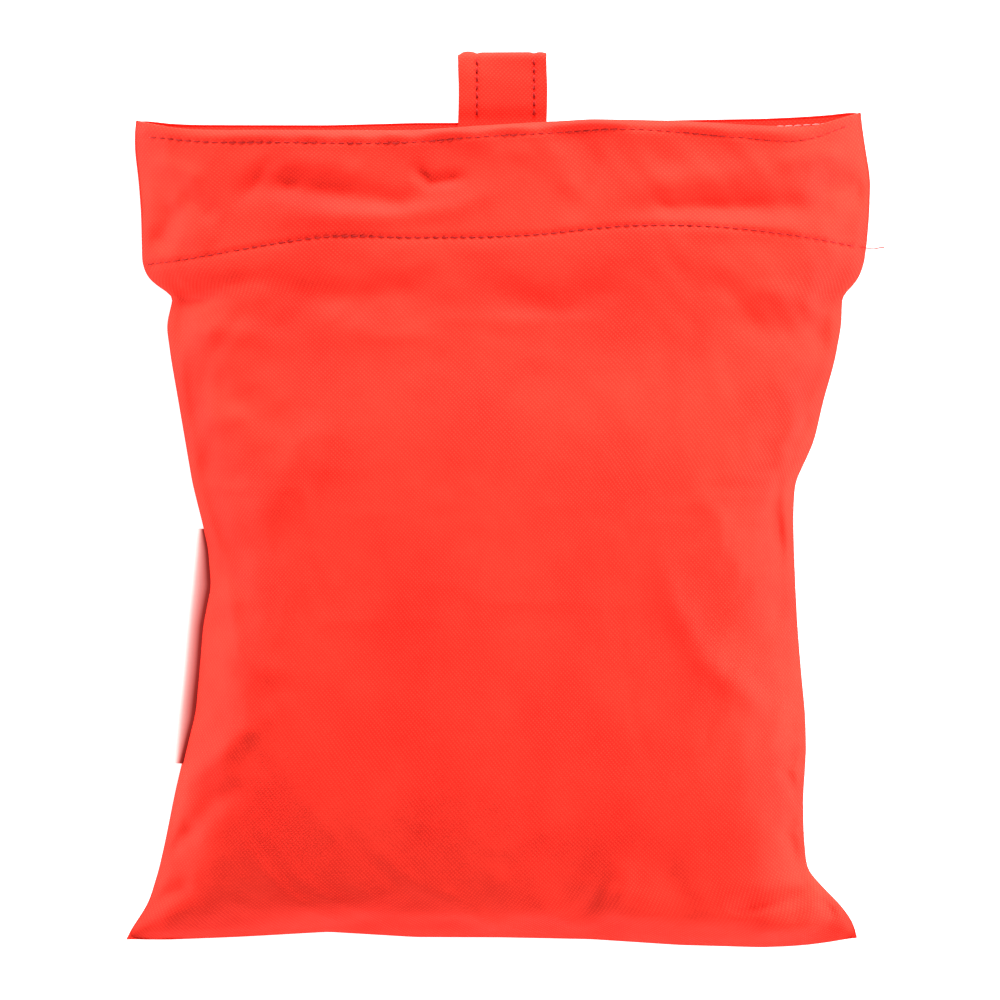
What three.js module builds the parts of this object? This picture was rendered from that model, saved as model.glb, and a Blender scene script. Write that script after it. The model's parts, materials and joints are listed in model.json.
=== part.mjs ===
// A fire blanket in its soft pouch, lying on its back: a red woven pouch with an open, hemmed mouth and a
// hanging loop, a care label in the left side seam, and a folded glass-fibre blanket with two pull tabs.
// Millimetres, +Z up from the surface it lies on, +Y towards the mouth, +X right, origin under its middle.
import * as THREE from "three";

// ---------------------------------------------------------------- driving dimensions
const POUCH_WIDTH = 261; // across the mouth band and across the bottom corners
const POUCH_LENGTH = 314; // bottom edge to the end of the hanging loop
const HEM_DEPTH = 40; // depth of the turned hem at the mouth
const PLY = 0.6; // one ply of pouch cloth, doubled from the real 0.3 so that it stays a solid
const AIR = 0.3; // between two plies that lie on each other
const STITCH = 3.15; // stitch pitch, 8 to the inch
const THREAD = 0.45; // thread height where it stands proud

const BLANKET = 900; // side of the square blanket
const FOLDS = 5; // folded in fifths both ways
const BLANKET_THICK = 11.7; // 25 layers of 0.43 mm glass cloth and the air between its passes
const BLANKET_PASSES = 5;
const MOUTH_CLEAR = 1.4; // between the blanket's top and the front hem, so that it slides out
const SIDE_CLEAR = 0.6; // between the blanket's side and where the pouch starts to slope down

const LOOP_WIDTH = 31;
const LOOP_OUT = 25; // how far the loop stands out past the rim
const LOOP_GAP = 4.2; // open height inside the loop
const LOOP_PLY = 0.5;
const LOOP_ROOT = 21; // length of strap sewn inside the mouth
const LOOP_INSET = 4.5; // from the strap's edge to the box of stitches that holds it
const LOOP_CLEAR = 0.35; // between the loop's stitches and the blanket that slides out over them

const LABEL_LENGTH = 82; // along the seam
const LABEL_TOP = -10; // its upper corner, along the pouch
const LABEL_PLY = 0.4;
const TAB_WIDTH = 25;
const TAB_LENGTH = 50;
const TAB_PLY = 1.2;
const TAB_TURN = 12; // the free end is turned over and sewn
const TAB_UNDER = 0.6; // how far the turned end hangs below the tab
const TAB_MARGIN = 3; // from the tab's edges to its stitches
const TAB_CLEAR = 0.9; // from the blanket's folded edge to the tab
const TAB_RISE = 2.9 + TAB_UNDER; // from the blanket's underside to the tab, clear of the loop's root
const TAB_PLACE = 0.31; // each tab's distance from the middle, as a share of the folded width

// ---------------------------------------------------------------- colours
const RED = 0xe8352e,
  DARK_RED = 0xc92a26,
  THREAD_RED = 0xd23a34,
  PALE_THREAD = 0xd9908a,
  WHITE = 0xf3f1ee,
  GLASS_CLOTH = 0xe6e2d6,
  BLACK = 0x1d1d1f;

// ---------------------------------------------------------------- small tools
// A smooth curve through hand-set [where, value] stations, flat beyond both ends.
function curve(...p) {
  const n = p.length,
    slope = p.map((q, i) => {
      if (i === 0 || i === n - 1) return 0;
      const a = (q[1] - p[i - 1][1]) / (q[0] - p[i - 1][0]),
        b = (p[i + 1][1] - q[1]) / (p[i + 1][0] - q[0]);
      return a * b <= 0 ? 0 : (2 * a * b) / (a + b);
    });
  if (n > 1) {
    slope[0] = (p[1][1] - p[0][1]) / (p[1][0] - p[0][0]);
    slope[n - 1] = (p[n - 1][1] - p[n - 2][1]) / (p[n - 1][0] - p[n - 2][0]);
  }
  return (t) => {
    if (t <= p[0][0]) return p[0][1];
    if (t >= p[n - 1][0]) return p[n - 1][1];
    let i = 0;
    while (t > p[i + 1][0]) i++;
    const h = p[i + 1][0] - p[i][0],
      u = (t - p[i][0]) / h,
      v = 1 - u;
    return (
      p[i][1] * (1 + 2 * u) * v * v +
      slope[i] * h * u * v * v +
      p[i + 1][1] * u * u * (3 - 2 * u) -
      slope[i + 1] * h * u * u * v
    );
  };
}
const lerp = (a, b, t) => a + (b - a) * t;
const clamp01 = (t) => Math.min(1, Math.max(0, t));

const part = new THREE.Group();
part.name = "fire_blanket";
function add(name, geometry, colour, roughness = 0.85) {
  geometry.computeVertexNormals();
  const mesh = new THREE.Mesh(
    geometry,
    new THREE.MeshStandardMaterial({ color: colour, roughness }),
  );
  mesh.name = name;
  part.add(mesh);
  return mesh;
}
function solid(points, faces) {
  const g = new THREE.BufferGeometry();
  g.setAttribute(
    "position",
    new THREE.Float32BufferAttribute(points.flat(), 3),
  );
  g.setIndex(faces.flat());
  return g;
}

// A cloth ply as a closed sheet over a grid: rows along Y, columns along X, its lower face at low(x, y).
function sheet(rows, columns, at, low, ply) {
  const nr = rows.length,
    nc = columns.length,
    bottom = [],
    top = [];
  for (const v of rows)
    for (const u of columns) {
      const [x, y] = at(u, v),
        z = low(x, y),
        gx = low(x + 0.5, y) - low(x - 0.5, y),
        gy = low(x, y + 0.5) - low(x, y - 0.5),
        slant = Math.min(2.2, Math.sqrt(1 + gx * gx + gy * gy)); // keeps the ply's thickness on a slope
      bottom.push([x, y, z]);
      top.push([x, y, z + ply * slant]);
    }
  const N = nr * nc,
    id = (r, c) => r * nc + c,
    faces = [],
    upper = [];
  for (let r = 0; r + 1 < nr; r++)
    for (let c = 0; c + 1 < nc; c++) {
      const a = id(r, c),
        b = id(r, c + 1),
        d = id(r + 1, c + 1),
        e = id(r + 1, c);
      upper.push([a, b, d], [a, d, e]);
      faces.push([N + a, N + b, N + d], [N + a, N + d, N + e]);
      faces.push([a, d, b], [a, e, d]);
    }
  const side = (a, b) => faces.push([a, b, N + b], [a, N + b, N + a]);
  for (let c = 0; c + 1 < nc; c++) {
    side(id(0, c), id(0, c + 1));
    side(id(nr - 1, c + 1), id(nr - 1, c));
  }
  for (let r = 0; r + 1 < nr; r++) {
    side(id(r + 1, 0), id(r, 0));
    side(id(r, nc - 1), id(r + 1, nc - 1));
  }
  const geometry = solid([...bottom, ...top], faces);
  geometry.userData = { top, upper };
  return geometry;
}
// The height of a sheet's upper face at a point; just outside its edge, on the nearest facet's plane.
function topOf(geometry, x, y) {
  const { top, upper } = geometry.userData;
  let most = -Infinity,
    height = 0;
  for (const [i, j, k] of upper) {
    const a = top[i],
      b = top[j],
      c = top[k],
      area = (b[0] - a[0]) * (c[1] - a[1]) - (c[0] - a[0]) * (b[1] - a[1]);
    if (Math.abs(area) < 1e-9) continue;
    const s = ((b[0] - x) * (c[1] - y) - (c[0] - x) * (b[1] - y)) / area,
      t = ((c[0] - x) * (a[1] - y) - (a[0] - x) * (c[1] - y)) / area,
      inside = Math.min(s, t, 1 - s - t);
    if (inside > most) {
      most = inside;
      height = s * a[2] + t * b[2] + (1 - s - t) * c[2];
    }
  }
  return height;
}

// A closed body from a row of equal polygons, faces turned outwards whichever way the row runs.
function loft(sections, ring = false) {
  const m = sections[0].length,
    n = sections.length,
    faces = [],
    id = (i, k) => (i % n) * m + (k % m);
  for (let i = 0; i < (ring ? n : n - 1); i++)
    for (let k = 0; k < m; k++) {
      const a = id(i, k),
        b = id(i, k + 1),
        c = id(i + 1, k + 1),
        d = id(i + 1, k);
      faces.push([a, b, c], [a, c, d]);
    }
  if (!ring) {
    const cap = (section, base, flip) => {
      const p = section.map((q) => new THREE.Vector3(...q)),
        o = p[0],
        normal = new THREE.Vector3();
      p.forEach((q, i) => {
        const r = p[(i + 1) % m];
        normal.add(q.clone().sub(o).cross(r.clone().sub(o)));
      });
      normal.normalize();
      const ex = p[1].clone().sub(o).normalize(),
        ey = normal.clone().cross(ex),
        flat = p.map(
          (q) =>
            new THREE.Vector2(q.clone().sub(o).dot(ex), q.clone().sub(o).dot(ey)),
        );
      for (const [a, b, c] of THREE.ShapeUtils.triangulateShape(flat, []))
        faces.push(
          flip ? [base + a, base + c, base + b] : [base + a, base + b, base + c],
        );
    };
    cap(sections[0], 0, true);
    cap(sections[n - 1], (n - 1) * m, false);
  }
  const points = sections.flat();
  let volume = 0;
  for (const [i, j, k] of faces) {
    const [a, b, c] = [points[i], points[j], points[k]];
    volume +=
      a[0] * (b[1] * c[2] - b[2] * c[1]) -
      a[1] * (b[0] * c[2] - b[2] * c[0]) +
      a[2] * (b[0] * c[1] - b[1] * c[0]);
  }
  return solid(points, volume < 0 ? faces.map(([i, j, k]) => [i, k, j]) : faces);
}

// A sewn row: one thread that swells over each stitch and dips at each hole. path gives points on the cloth.
function sewn(path, length, ring = false) {
  const stitches = Math.max(2, Math.round(length / STITCH)),
    n = stitches * 2,
    out = [];
  for (let i = 0; i < (ring ? n : n + 1); i++) {
    const t = i / n,
      p = path(t),
      q = path(ring ? (t + 0.001) % 1 : Math.min(1, t + 0.001)),
      o = path(ring ? (t + 0.999) % 1 : Math.max(0, t - 0.001)),
      dx = q[0] - o[0],
      dy = q[1] - o[1],
      l = Math.hypot(dx, dy),
      nx = -dy / l,
      ny = dx / l,
      w = i % 2 ? 0.42 : 0.22,
      h = i % 2 ? THREAD : 0.24,
      z = p[2] + AIR;
    out.push([
      [p[0] - nx * w, p[1] - ny * w, z],
      [p[0], p[1], z + h],
      [p[0] + nx * w, p[1] + ny * w, z],
    ]);
  }
  return loft(out, ring);
}

// ---------------------------------------------------------------- the pouch's outline, seen from above
const SX = POUCH_WIDTH / 261,
  SY = POUCH_LENGTH / 314;
const scaled = (stations) => {
  const f = curve(...stations);
  return (y) => SX * f(y / SY);
};
const leftSeam = scaled([
  [-153, -130.5],
  [-147, -127],
  [-138, -121.5],
  [-120, -116.5],
  [-105, -113.5],
  [-90, -110],
  [-72, -105.2],
  [-45, -103],
  [-28, -100],
  [-12, -102],
  [0, -105.5],
  [25, -110],
  [45, -113.5],
  [60, -116],
  [68, -115],
  [73, -113],
]);
const rightSeam = scaled([
  [-153, 126],
  [-147, 124.3],
  [-141, 120.5],
  [-136.5, 115.5],
  [-132, 109],
  [-125, 107.5],
  [-105, 106.5],
  [-85, 107.8],
  [-60, 105.8],
  [-35, 104],
  [0, 103],
  [9, 104.3],
  [14, 107],
  [20, 111],
  [31, 112.6],
  [45, 116.8],
  [60, 120],
  [73, 120.5],
]);
// The mouth band is stiffer than the body below it and stands out past it on both sides.
const leftBand = scaled([
  [73, -114.5],
  [75, -119.5],
  [78, -123],
  [82, -124.5],
  [100, -125],
  [112, -126],
  [124, -127.5],
  [131, -126.5],
]);
const rightBand = scaled([
  [73, 122],
  [77, 126],
  [82, 128],
  [100, 130],
  [110, 130.5],
  [116, 129],
  [124, 127.6],
  [131, 126.5],
]);
const along = (stations) => {
  const f = curve(...stations);
  return (x) => SY * f(x / SX);
};
const bottomEdge = along([
  [-130, -153],
  [-124, -154.3],
  [-83, -153],
  [-52, -151.4],
  [-31, -153.4],
  [11, -153.6],
  [43, -154.6],
  [64, -156.2],
  [92.6, -157],
  [108, -156.2],
  [126, -153.4],
]);
const frontRim = along([
  [-126, 132.5],
  [-118, 130],
  [-102, 128.3],
  [-28, 128],
  [-5, 129.7],
  [19, 131],
  [43, 132.2],
  [62, 131.4],
  [82, 129.8],
  [108, 129.4],
  [118, 132],
  [126, 135],
]);
const backRim = along([
  [-126, 133],
  [-104, 131.7],
  [-52, 131.6],
  [-20, 132.6],
  [22, 132.4],
  [43, 133],
  [90, 133.8],
  [116, 135.1],
  [126, 136.2],
]);
const hemLine = along([
  [-124, 82.3],
  [-94, 86],
  [-59, 91.2],
  [0, 91.5],
  [29, 93.6],
  [62, 95.2],
  [82, 94.2],
  [103, 91.7],
  [127, 88.4],
]);
const MOUTH_Y = 131 * SY,
  BOTTOM_Y = -153 * SY,
  HINGE_Y = 74 * SY;
const left = (y) => (y > HINGE_Y ? leftBand(y) : leftSeam(y));
const right = (y) => (y > HINGE_Y ? rightBand(y) : rightSeam(y));

// ---------------------------------------------------------------- the blanket's place inside
const FOLD = BLANKET / FOLDS; // 180 mm square when folded
const BLANKET_Z = 2 * LOOP_PLY + LOOP_GAP + AIR + THREAD + LOOP_CLEAR; // its underside
const MIDDLE = 2; // the pouch's narrowest stretch is centred a little right of the mouth's middle
const BX0 = MIDDLE - FOLD / 2,
  BX1 = MIDDLE + FOLD / 2,
  BY0 = BOTTOM_Y + 15.5,
  BY1 = BY0 + FOLD,
  BLANKET_TOP = BLANKET_Z + BLANKET_THICK;

// ---------------------------------------------------------------- the heights of the two sides of the pouch
const SEAM_STACK = 2.1; // from the back ply's top to the front ply's underside, along the seams
const seamZ = curve(
  [-153, 0],
  [-140, 3],
  [-120, 6],
  [-80, 8.5],
  [-30, 9],
  [20, 8],
  [50, 6.5],
  [73, 5],
  [100, 3.5],
  [131, 2.5],
);
const HEM_UNDER = PLY + AIR; // the turned hem hangs under the band's outer ply
const lip = BLANKET_TOP + MOUTH_CLEAR + HEM_UNDER;
const crown = curve(
  [-153, PLY + SEAM_STACK],
  [-146, lip - 7],
  [-139, lip - 0.2],
  [-120, lip + 2],
  [-80, lip + 4],
  [-40, lip + 5],
  [0, lip + 4.5],
  [40, lip + 3],
  [73, lip + 0.8],
  [100, lip + 0.1],
  [131, lip],
);
const DOME = 2.5; // a slight swell across the middle
const zone0 = BX0 - SIDE_CLEAR,
  zone1 = BX1 + SIDE_CLEAR;
function backLow(x, y) {
  const l = left(y),
    r = right(y),
    roll = 13,
    d = Math.min(x - l, r - x),
    t = 1 - clamp01(d / roll);
  return seamZ(y / SY) * t * t;
}
function frontLow(x, y) {
  const edge = seamZ(y / SY) + PLY + SEAM_STACK,
    top = crown(y / SY),
    l = left(y),
    r = right(y);
  let t = 1,
    swell = 0;
  if (x < zone0) t = clamp01((x - l) / (zone0 - l));
  else if (x > zone1) t = clamp01((r - x) / (r - zone1));
  else {
    const q = (2 * (x - zone0)) / (zone1 - zone0) - 1;
    swell =
      DOME *
      (1 - q * q) *
      clamp01((y - BOTTOM_Y) / 30) *
      clamp01(1.6 - Math.abs(y) / 150);
  }
  return edge + (top - edge) * t * (1.5 - 0.5 * t * t) + swell;
}

// Columns: close together on the sloping sides, wide apart over the blanket. u runs 0..3.
const COLUMNS = [
  0, 0.12, 0.3, 0.5, 0.72, 1, 1.16, 1.33, 1.5, 1.67, 1.84, 2, 2.28, 2.5, 2.7,
  2.88, 3,
];
function across(u, y) {
  const l = left(y),
    r = right(y);
  if (u < 1) return lerp(l, zone0, u);
  if (u < 2) return lerp(zone0, zone1, u - 1);
  return lerp(zone1, r, u - 2);
}
const EASE = 25; // the last stretch at either end, where the rows follow the bottom edge or the rim
// v is the row's nominal y.
const place = (rim) => (u, v) => {
  const x = across(u, v),
    toBottom = clamp01(1 - (v - BOTTOM_Y) / EASE),
    toRim = rim ? clamp01(1 - (MOUTH_Y - v) / EASE) : 0;
  return [
    x,
    v + (bottomEdge(x) - BOTTOM_Y) * toBottom + (rim ? rim(x) - MOUTH_Y : 0) * toRim,
  ];
};
const steps = (a, b, n) => Array.from({ length: n + 1 }, (_, i) => lerp(a, b, i / n));

// ---------------------------------------------------------------- pouch, back
const backRows = [
  ...[-153, -148, -140, -128, -114, -100, -86, -72, -58, -44, -30, -16, -4],
  ...[8, 22, 36, 50, 62, 71, 73, 74.5, 78, 83, 91, 101, 111, 121, 127, 131],
].map((y) => y * SY);
const backPanel = sheet(backRows, COLUMNS, place(backRim), backLow, PLY);
add("back_panel", backPanel, RED);

const hemRows = steps(MOUTH_Y - HEM_DEPTH, MOUTH_Y - 0.8, 6);
// Inside the hem the columns stop just short of the side seams.
const narrowed = (f, by) => (u, v) => {
  const [x, y] = f(u, v),
    l = left(v),
    r = right(v),
    k = (x - l) / (r - l);
  return [lerp(l + by, r - by, k), y];
};
const rimBack = (u, v) => {
  const x = across(u, v);
  return [x, v + (backRim(x) - MOUTH_Y) * clamp01(1 - (MOUTH_Y - v) / EASE)];
};
const backHem = sheet(
  hemRows,
  COLUMNS,
  narrowed(rimBack, 1.2),
  (x, y) => topOf(backPanel, x, y) + AIR,
  PLY,
);
add("back_hem", backHem, DARK_RED);

// ---------------------------------------------------------------- pouch, front
const frontRows = [
  ...[-153, -149.5, -146, -142.5, -139, -130, -120, -106, -92, -76, -60, -44],
  ...[-30, -18, -8, 4, 16, 30, 45, 60, 73.2],
].map((y) => y * SY);
const frontPanel = sheet(frontRows, COLUMNS, place(null), frontLow, PLY);
add("front_panel", frontPanel, RED);

const bandRows = [74.8, 77.5, 82, 90, 100, 110, 120, 126, 131].map(
  (y) => y * SY,
);
const rimFront = (u, v) => {
  const x = across(u, v);
  return [x, v + (frontRim(x) - MOUTH_Y) * clamp01(1 - (MOUTH_Y - v) / EASE)];
};
const band = sheet(bandRows, COLUMNS, rimFront, frontLow, PLY);
add("mouth_band", band, RED);
const frontHem = sheet(
  [82.5, 90, 100, 110, 120, 126, 130.2].map((y) => y * SY),
  COLUMNS,
  narrowed(rimFront, 1.2),
  (x, y) => frontLow(x, y) - HEM_UNDER,
  PLY,
);
add("front_hem", frontHem, DARK_RED);

// ---------------------------------------------------------------- seams inside the pouch
const SEAM_TURN = 5, // width of the seam allowances, two plies pressed together
  SEAM_PLIES = 1.2,
  SEAM_AIR = 0.65; // under them, where the back ply curves up
function sideSeam(side) {
  return sheet(
    backRows.filter((y) => y > -141 * SY && y < 72 * SY),
    [0, 0.5, 1],
    (u, v) => {
      const edge = side < 0 ? left(v) + 0.4 : right(v) - 0.4 - SEAM_TURN;
      return [edge + u * SEAM_TURN, v];
    },
    (x, y) => topOf(backPanel, x, y) + SEAM_AIR,
    SEAM_PLIES,
  );
}
const seamLeft = sideSeam(-1),
  seamRight = sideSeam(1);
add("side_seam_left", seamLeft, DARK_RED);
add("side_seam_right", seamRight, DARK_RED);
const bottomSeam = sheet(
  [0, 0.5, 1],
  steps(-116 * SX, 104 * SX, 16),
  (x, v) => [x, bottomEdge(x) + 0.5 + v * SEAM_TURN],
  () => PLY + AIR,
  SEAM_PLIES,
);
add("bottom_seam", bottomSeam, DARK_RED);

const seamRow = (side) => (t) => {
  const y = lerp(-138, 70, t) * SY,
    x = side < 0 ? left(y) + SEAM_TURN + 1.6 : right(y) - SEAM_TURN - 1.6;
  return [x, y, topOf(backPanel, x, y) + 0.2];
};
add("side_stitching_left", sewn(seamRow(-1), 208 * SY), THREAD_RED);
add("side_stitching_right", sewn(seamRow(1), 208 * SY), THREAD_RED);
add(
  "bottom_stitching",
  sewn((t) => {
    const x = lerp(-110, 98, t) * SX,
      y = bottomEdge(x) + SEAM_TURN + 1.7;
    return [x, y, topOf(backPanel, x, y)];
  }, 208 * SX),
  THREAD_RED,
);

// ---------------------------------------------------------------- topstitching round the mouth
const row = (cloth, line, x0, x1) => (t) => {
  const x = lerp(x0, x1, t),
    y = line(x);
  return [x, y, topOf(cloth, x, y)];
};
const rimX0 = -121 * SX,
  rimX1 = 122 * SX;
add(
  "front_rim_stitching",
  sewn(row(band, (x) => frontRim(x) - 4, rimX0, rimX1), rimX1 - rimX0),
  THREAD_RED,
);
add(
  "front_hem_stitching",
  sewn(row(band, hemLine, rimX0, 126 * SX), 126 * SX - rimX0),
  THREAD_RED,
);
add(
  "back_rim_stitching",
  sewn(row(backHem, (x) => backRim(x) - 3, rimX0, rimX1), rimX1 - rimX0),
  PALE_THREAD,
);
add(
  "back_hem_stitching",
  sewn(
    row(backHem, () => MOUTH_Y - HEM_DEPTH + 4, rimX0, rimX1),
    rimX1 - rimX0,
  ),
  PALE_THREAD,
);

// ---------------------------------------------------------------- hanging loop
const LOOP_X0 = -14 * SX,
  LOOP_X1 = LOOP_X0 + LOOP_WIDTH,
  LOOP_Y = MOUTH_Y + 1.2, // where it bends at the rim
  LOOP_END = LOOP_Y + LOOP_OUT - 0.2;
const slab = (x0, x1, y0, y1, z0, z1) => {
  const g = new THREE.BoxGeometry(x1 - x0, y1 - y0, z1 - z0);
  g.translate((x0 + x1) / 2, (y0 + y1) / 2, (z0 + z1) / 2);
  return g;
};
// The back hem's top under the loop.
const HEM_TOP = 2 * PLY + 2 * AIR,
  ROOT_UNDER = HEM_TOP + 0.85, // the back hem swells this much between its two rows of stitches
  ROOT_TOP = ROOT_UNDER + 2 * LOOP_PLY + 0.1;
add(
  "hang_loop_root",
  slab(LOOP_X0, LOOP_X1, LOOP_Y - LOOP_ROOT, LOOP_Y - 0.8, ROOT_UNDER, ROOT_TOP),
  RED,
);
// The free part: down to the surface, round the end and back over, open by LOOP_GAP.
const under = [
  [LOOP_Y + 0.9, 2.1],
  [LOOP_Y + 2.6, 1.2],
  [LOOP_Y + 4.6, LOOP_PLY],
  [LOOP_END - 4, LOOP_PLY],
  [LOOP_END - 1.8, 1.1],
  [LOOP_END - LOOP_PLY, 2.5],
  [LOOP_END - 1.8, LOOP_PLY + LOOP_GAP - 0.5],
  [LOOP_END - 4, LOOP_PLY + LOOP_GAP],
  [LOOP_Y + 5.5, LOOP_PLY + LOOP_GAP],
  [LOOP_Y + 3.2, 3.6],
  [LOOP_Y + 0.9, 2.7],
];
const outer = [
  [LOOP_Y + 0.9, 3.25],
  [LOOP_Y + 3.0, 4.15],
  [LOOP_Y + 5.5, 2 * LOOP_PLY + LOOP_GAP],
  [LOOP_END - 3.8, 2 * LOOP_PLY + LOOP_GAP],
  [LOOP_END - 1.3, LOOP_PLY + LOOP_GAP - 0.1],
  [LOOP_END, 2.6],
  [LOOP_END - 1.3, 0.7],
  [LOOP_END - 3.8, 0],
  [LOOP_Y + 4.4, 0],
  [LOOP_Y + 2.2, 0.75],
  [LOOP_Y + 0.9, 1.55],
];
// The two plies are sewn together where the loop meets the rim, so the section closes there.
const loopSection = [
  [LOOP_Y + 2.4, 2.35],
  ...under.slice(1, -1),
  [LOOP_Y + 2.4, 2.65],
  ...outer,
];
const rounded = (x) => {
  // the end's corners are slightly rounded, seen from above
  const d = Math.min(x - LOOP_X0, LOOP_X1 - x);
  return d < 2 ? (2 - d) * 0.6 : 0;
};
const loopAt = (x) =>
  loopSection.map(([y, z]) => [
    x,
    y - rounded(x) * clamp01((y - LOOP_Y - 12) / 10),
    z,
  ]);
const loopXs = [
  LOOP_X0,
  LOOP_X0 + 1,
  LOOP_X0 + 2,
  (LOOP_X0 + LOOP_X1) / 2,
  LOOP_X1 - 2,
  LOOP_X1 - 1,
  LOOP_X1,
];
add("hang_loop", loft(loopXs.map(loopAt)), RED);
const LOOP_TOP = 2 * LOOP_PLY + LOOP_GAP;
const loopRow = (x) => (t) => {
  const y = lerp(LOOP_Y + 6.3, LOOP_END - 4.6, t);
  return [x, y, LOOP_TOP];
};
for (const [side, x] of [
  ["left", LOOP_X0 + 6.5],
  ["right", LOOP_X1 - 4.2],
])
  add("loop_stitching_" + side, sewn(loopRow(x), 13), THREAD_RED);
// A box of stitches holds the strap inside the mouth.
const ANCHOR_WIDTH = LOOP_WIDTH - 2 * LOOP_INSET,
  ANCHOR_LENGTH = LOOP_ROOT - 2 * LOOP_INSET;
add(
  "loop_anchor_stitching",
  sewn(
    (t) => {
      const w = ANCHOR_WIDTH,
        h = ANCHOR_LENGTH,
        s = t * 2 * (w + h),
        x0 = LOOP_X0 + LOOP_INSET,
        y0 = LOOP_Y - LOOP_ROOT + LOOP_INSET,
        z = ROOT_TOP;
      if (s < w) return [x0 + s, y0, z];
      if (s < w + h) return [x0 + w, y0 + s - w, z];
      if (s < 2 * w + h) return [x0 + w - (s - w - h), y0 + h, z];
      return [x0, y0 + h - (s - 2 * w - h), z];
    },
    2 * (ANCHOR_WIDTH + ANCHOR_LENGTH),
    true,
  ),
  PALE_THREAD,
);

// ---------------------------------------------------------------- care label in the left side seam
const LABEL_Z = 10.2, // height of the seam that it comes out of
  LABEL_CLEAR = 0.9, // past the seam, so that it is a solid of its own
  labelEnd = (y) => [leftSeam(y) - LABEL_CLEAR, y],
  labelFrom = labelEnd(LABEL_TOP * SY),
  labelTo = labelEnd(LABEL_TOP * SY - LABEL_LENGTH);
const labelLine = [
  [0, LABEL_Z],
  [1.9, 9.3],
  [3.6, 7.3],
  [4.7, 4.8],
  [5.8, 2.6],
  [7.4, 1.1],
  [9.2, 0.75],
];
function labelSection(t) {
  const x = lerp(labelFrom[0], labelTo[0], t),
    y = lerp(labelFrom[1], labelTo[1], t),
    a = labelLine.map(([d, z]) => [x - d, y, z]),
    n = labelLine.length,
    b = labelLine.map(([d, z], i) => {
      const p = labelLine[Math.max(0, i - 1)],
        q = labelLine[Math.min(n - 1, i + 1)],
        l = Math.hypot(q[0] - p[0], q[1] - p[1]);
      return [
        x - d - (LABEL_PLY * (q[1] - p[1])) / l,
        y,
        z - (LABEL_PLY * (q[0] - p[0])) / l,
      ];
    });
  return [...a, ...b.reverse()];
}
add("label", loft(steps(0, 1, 8).map(labelSection)), WHITE);

// ---------------------------------------------------------------- the folded blanket
// Five passes joined by alternate folds, each pass five layers of cloth.
function blanketSection(x) {
  const gap = 0.35,
    pass = (BLANKET_THICK - gap * (BLANKET_PASSES - 1)) / BLANKET_PASSES,
    mouthSide = [],
    bottomSide = [];
  // Slots between the passes open on alternate ends.
  const slot = (i) => BLANKET_Z + (i + 1) * pass + i * gap;
  const cut = BY1 - BY0 - pass;
  for (let i = 0; i < BLANKET_PASSES - 1; i++) {
    const z = slot(i);
    if (i % 2 === 0)
      mouthSide.push([x, BY1, z], [x, BY1 - cut, z], [x, BY1 - cut, z + gap], [x, BY1, z + gap]);
    else
      bottomSide.push([x, BY0, z + gap], [x, BY0 + cut, z + gap], [x, BY0 + cut, z], [x, BY0, z]);
  }
  // bottomSide was filled from the lowest slot up, and the outline comes down that side.
  const down = [];
  for (let i = bottomSide.length - 4; i >= 0; i -= 4)
    down.push(...bottomSide.slice(i, i + 4));
  return [
    [x, BY0, BLANKET_Z],
    [x, BY1, BLANKET_Z],
    ...mouthSide,
    [x, BY1, BLANKET_TOP],
    [x, BY0, BLANKET_TOP],
    ...down,
  ];
}
add("fire_blanket", loft([blanketSection(BX0), blanketSection(BX1)]), GLASS_CLOTH);
add(
  "blanket_hem_stitching",
  sewn(
    (t) => [lerp(BX0 + 3, BX1 - 3, t), BY1 - 8, BLANKET_TOP],
    FOLD - 6,
  ),
  WHITE,
);

// ---------------------------------------------------------------- pull tabs at the blanket's mouth end
const TAB_Z = BLANKET_Z + TAB_RISE;
for (const [side, x] of [
  ["left", MIDDLE - FOLD * TAB_PLACE],
  ["right", MIDDLE + FOLD * TAB_PLACE],
]) {
  const y0 = BY1 + TAB_CLEAR,
    y1 = y0 + TAB_LENGTH,
    section = (xx) => [
      [xx, y0, TAB_Z],
      [xx, y1 - TAB_TURN, TAB_Z],
      [xx, y1 - TAB_TURN, TAB_Z - TAB_UNDER],
      [xx, y1, TAB_Z - TAB_UNDER],
      [xx, y1, TAB_Z + TAB_PLY],
      [xx, y0, TAB_Z + TAB_PLY],
    ];
  add(
    "pull_tab_" + side,
    loft([section(x - TAB_WIDTH / 2), section(x + TAB_WIDTH / 2)]),
    BLACK,
  );
  add(
    "pull_tab_stitching_" + side,
    sewn(
      (t) => [
        lerp(x - TAB_WIDTH / 2 + TAB_MARGIN, x + TAB_WIDTH / 2 - TAB_MARGIN, t),
        y1 - TAB_TURN + TAB_MARGIN,
        TAB_Z + TAB_PLY,
      ],
      TAB_WIDTH - 2 * TAB_MARGIN,
    ),
    WHITE,
  );
}

export default part;
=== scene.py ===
# %% [markdown]
# # A fire blanket in its soft pouch
#
# The real thing is a bag of thin red nylon, sewn inside out and turned, with a hem 40 mm deep round its
# open mouth, a hanging loop in the middle of that mouth and a white care label in the left side seam.
# Inside lies a square of glass-fibre cloth, folded in fifths both ways, with two black pull tabs. It lies
# on its back, seen from above.
#
# The measured model gives every place and size. Each soft piece is then made again here as cloth. Lengths
# are written in millimetres and become metres only where a mesh is made.

# %% Load the measured frame
import json
import math

import bpy
import numpy as np
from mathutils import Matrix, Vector, noise
from mathutils.bvhtree import BVHTree


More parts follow.
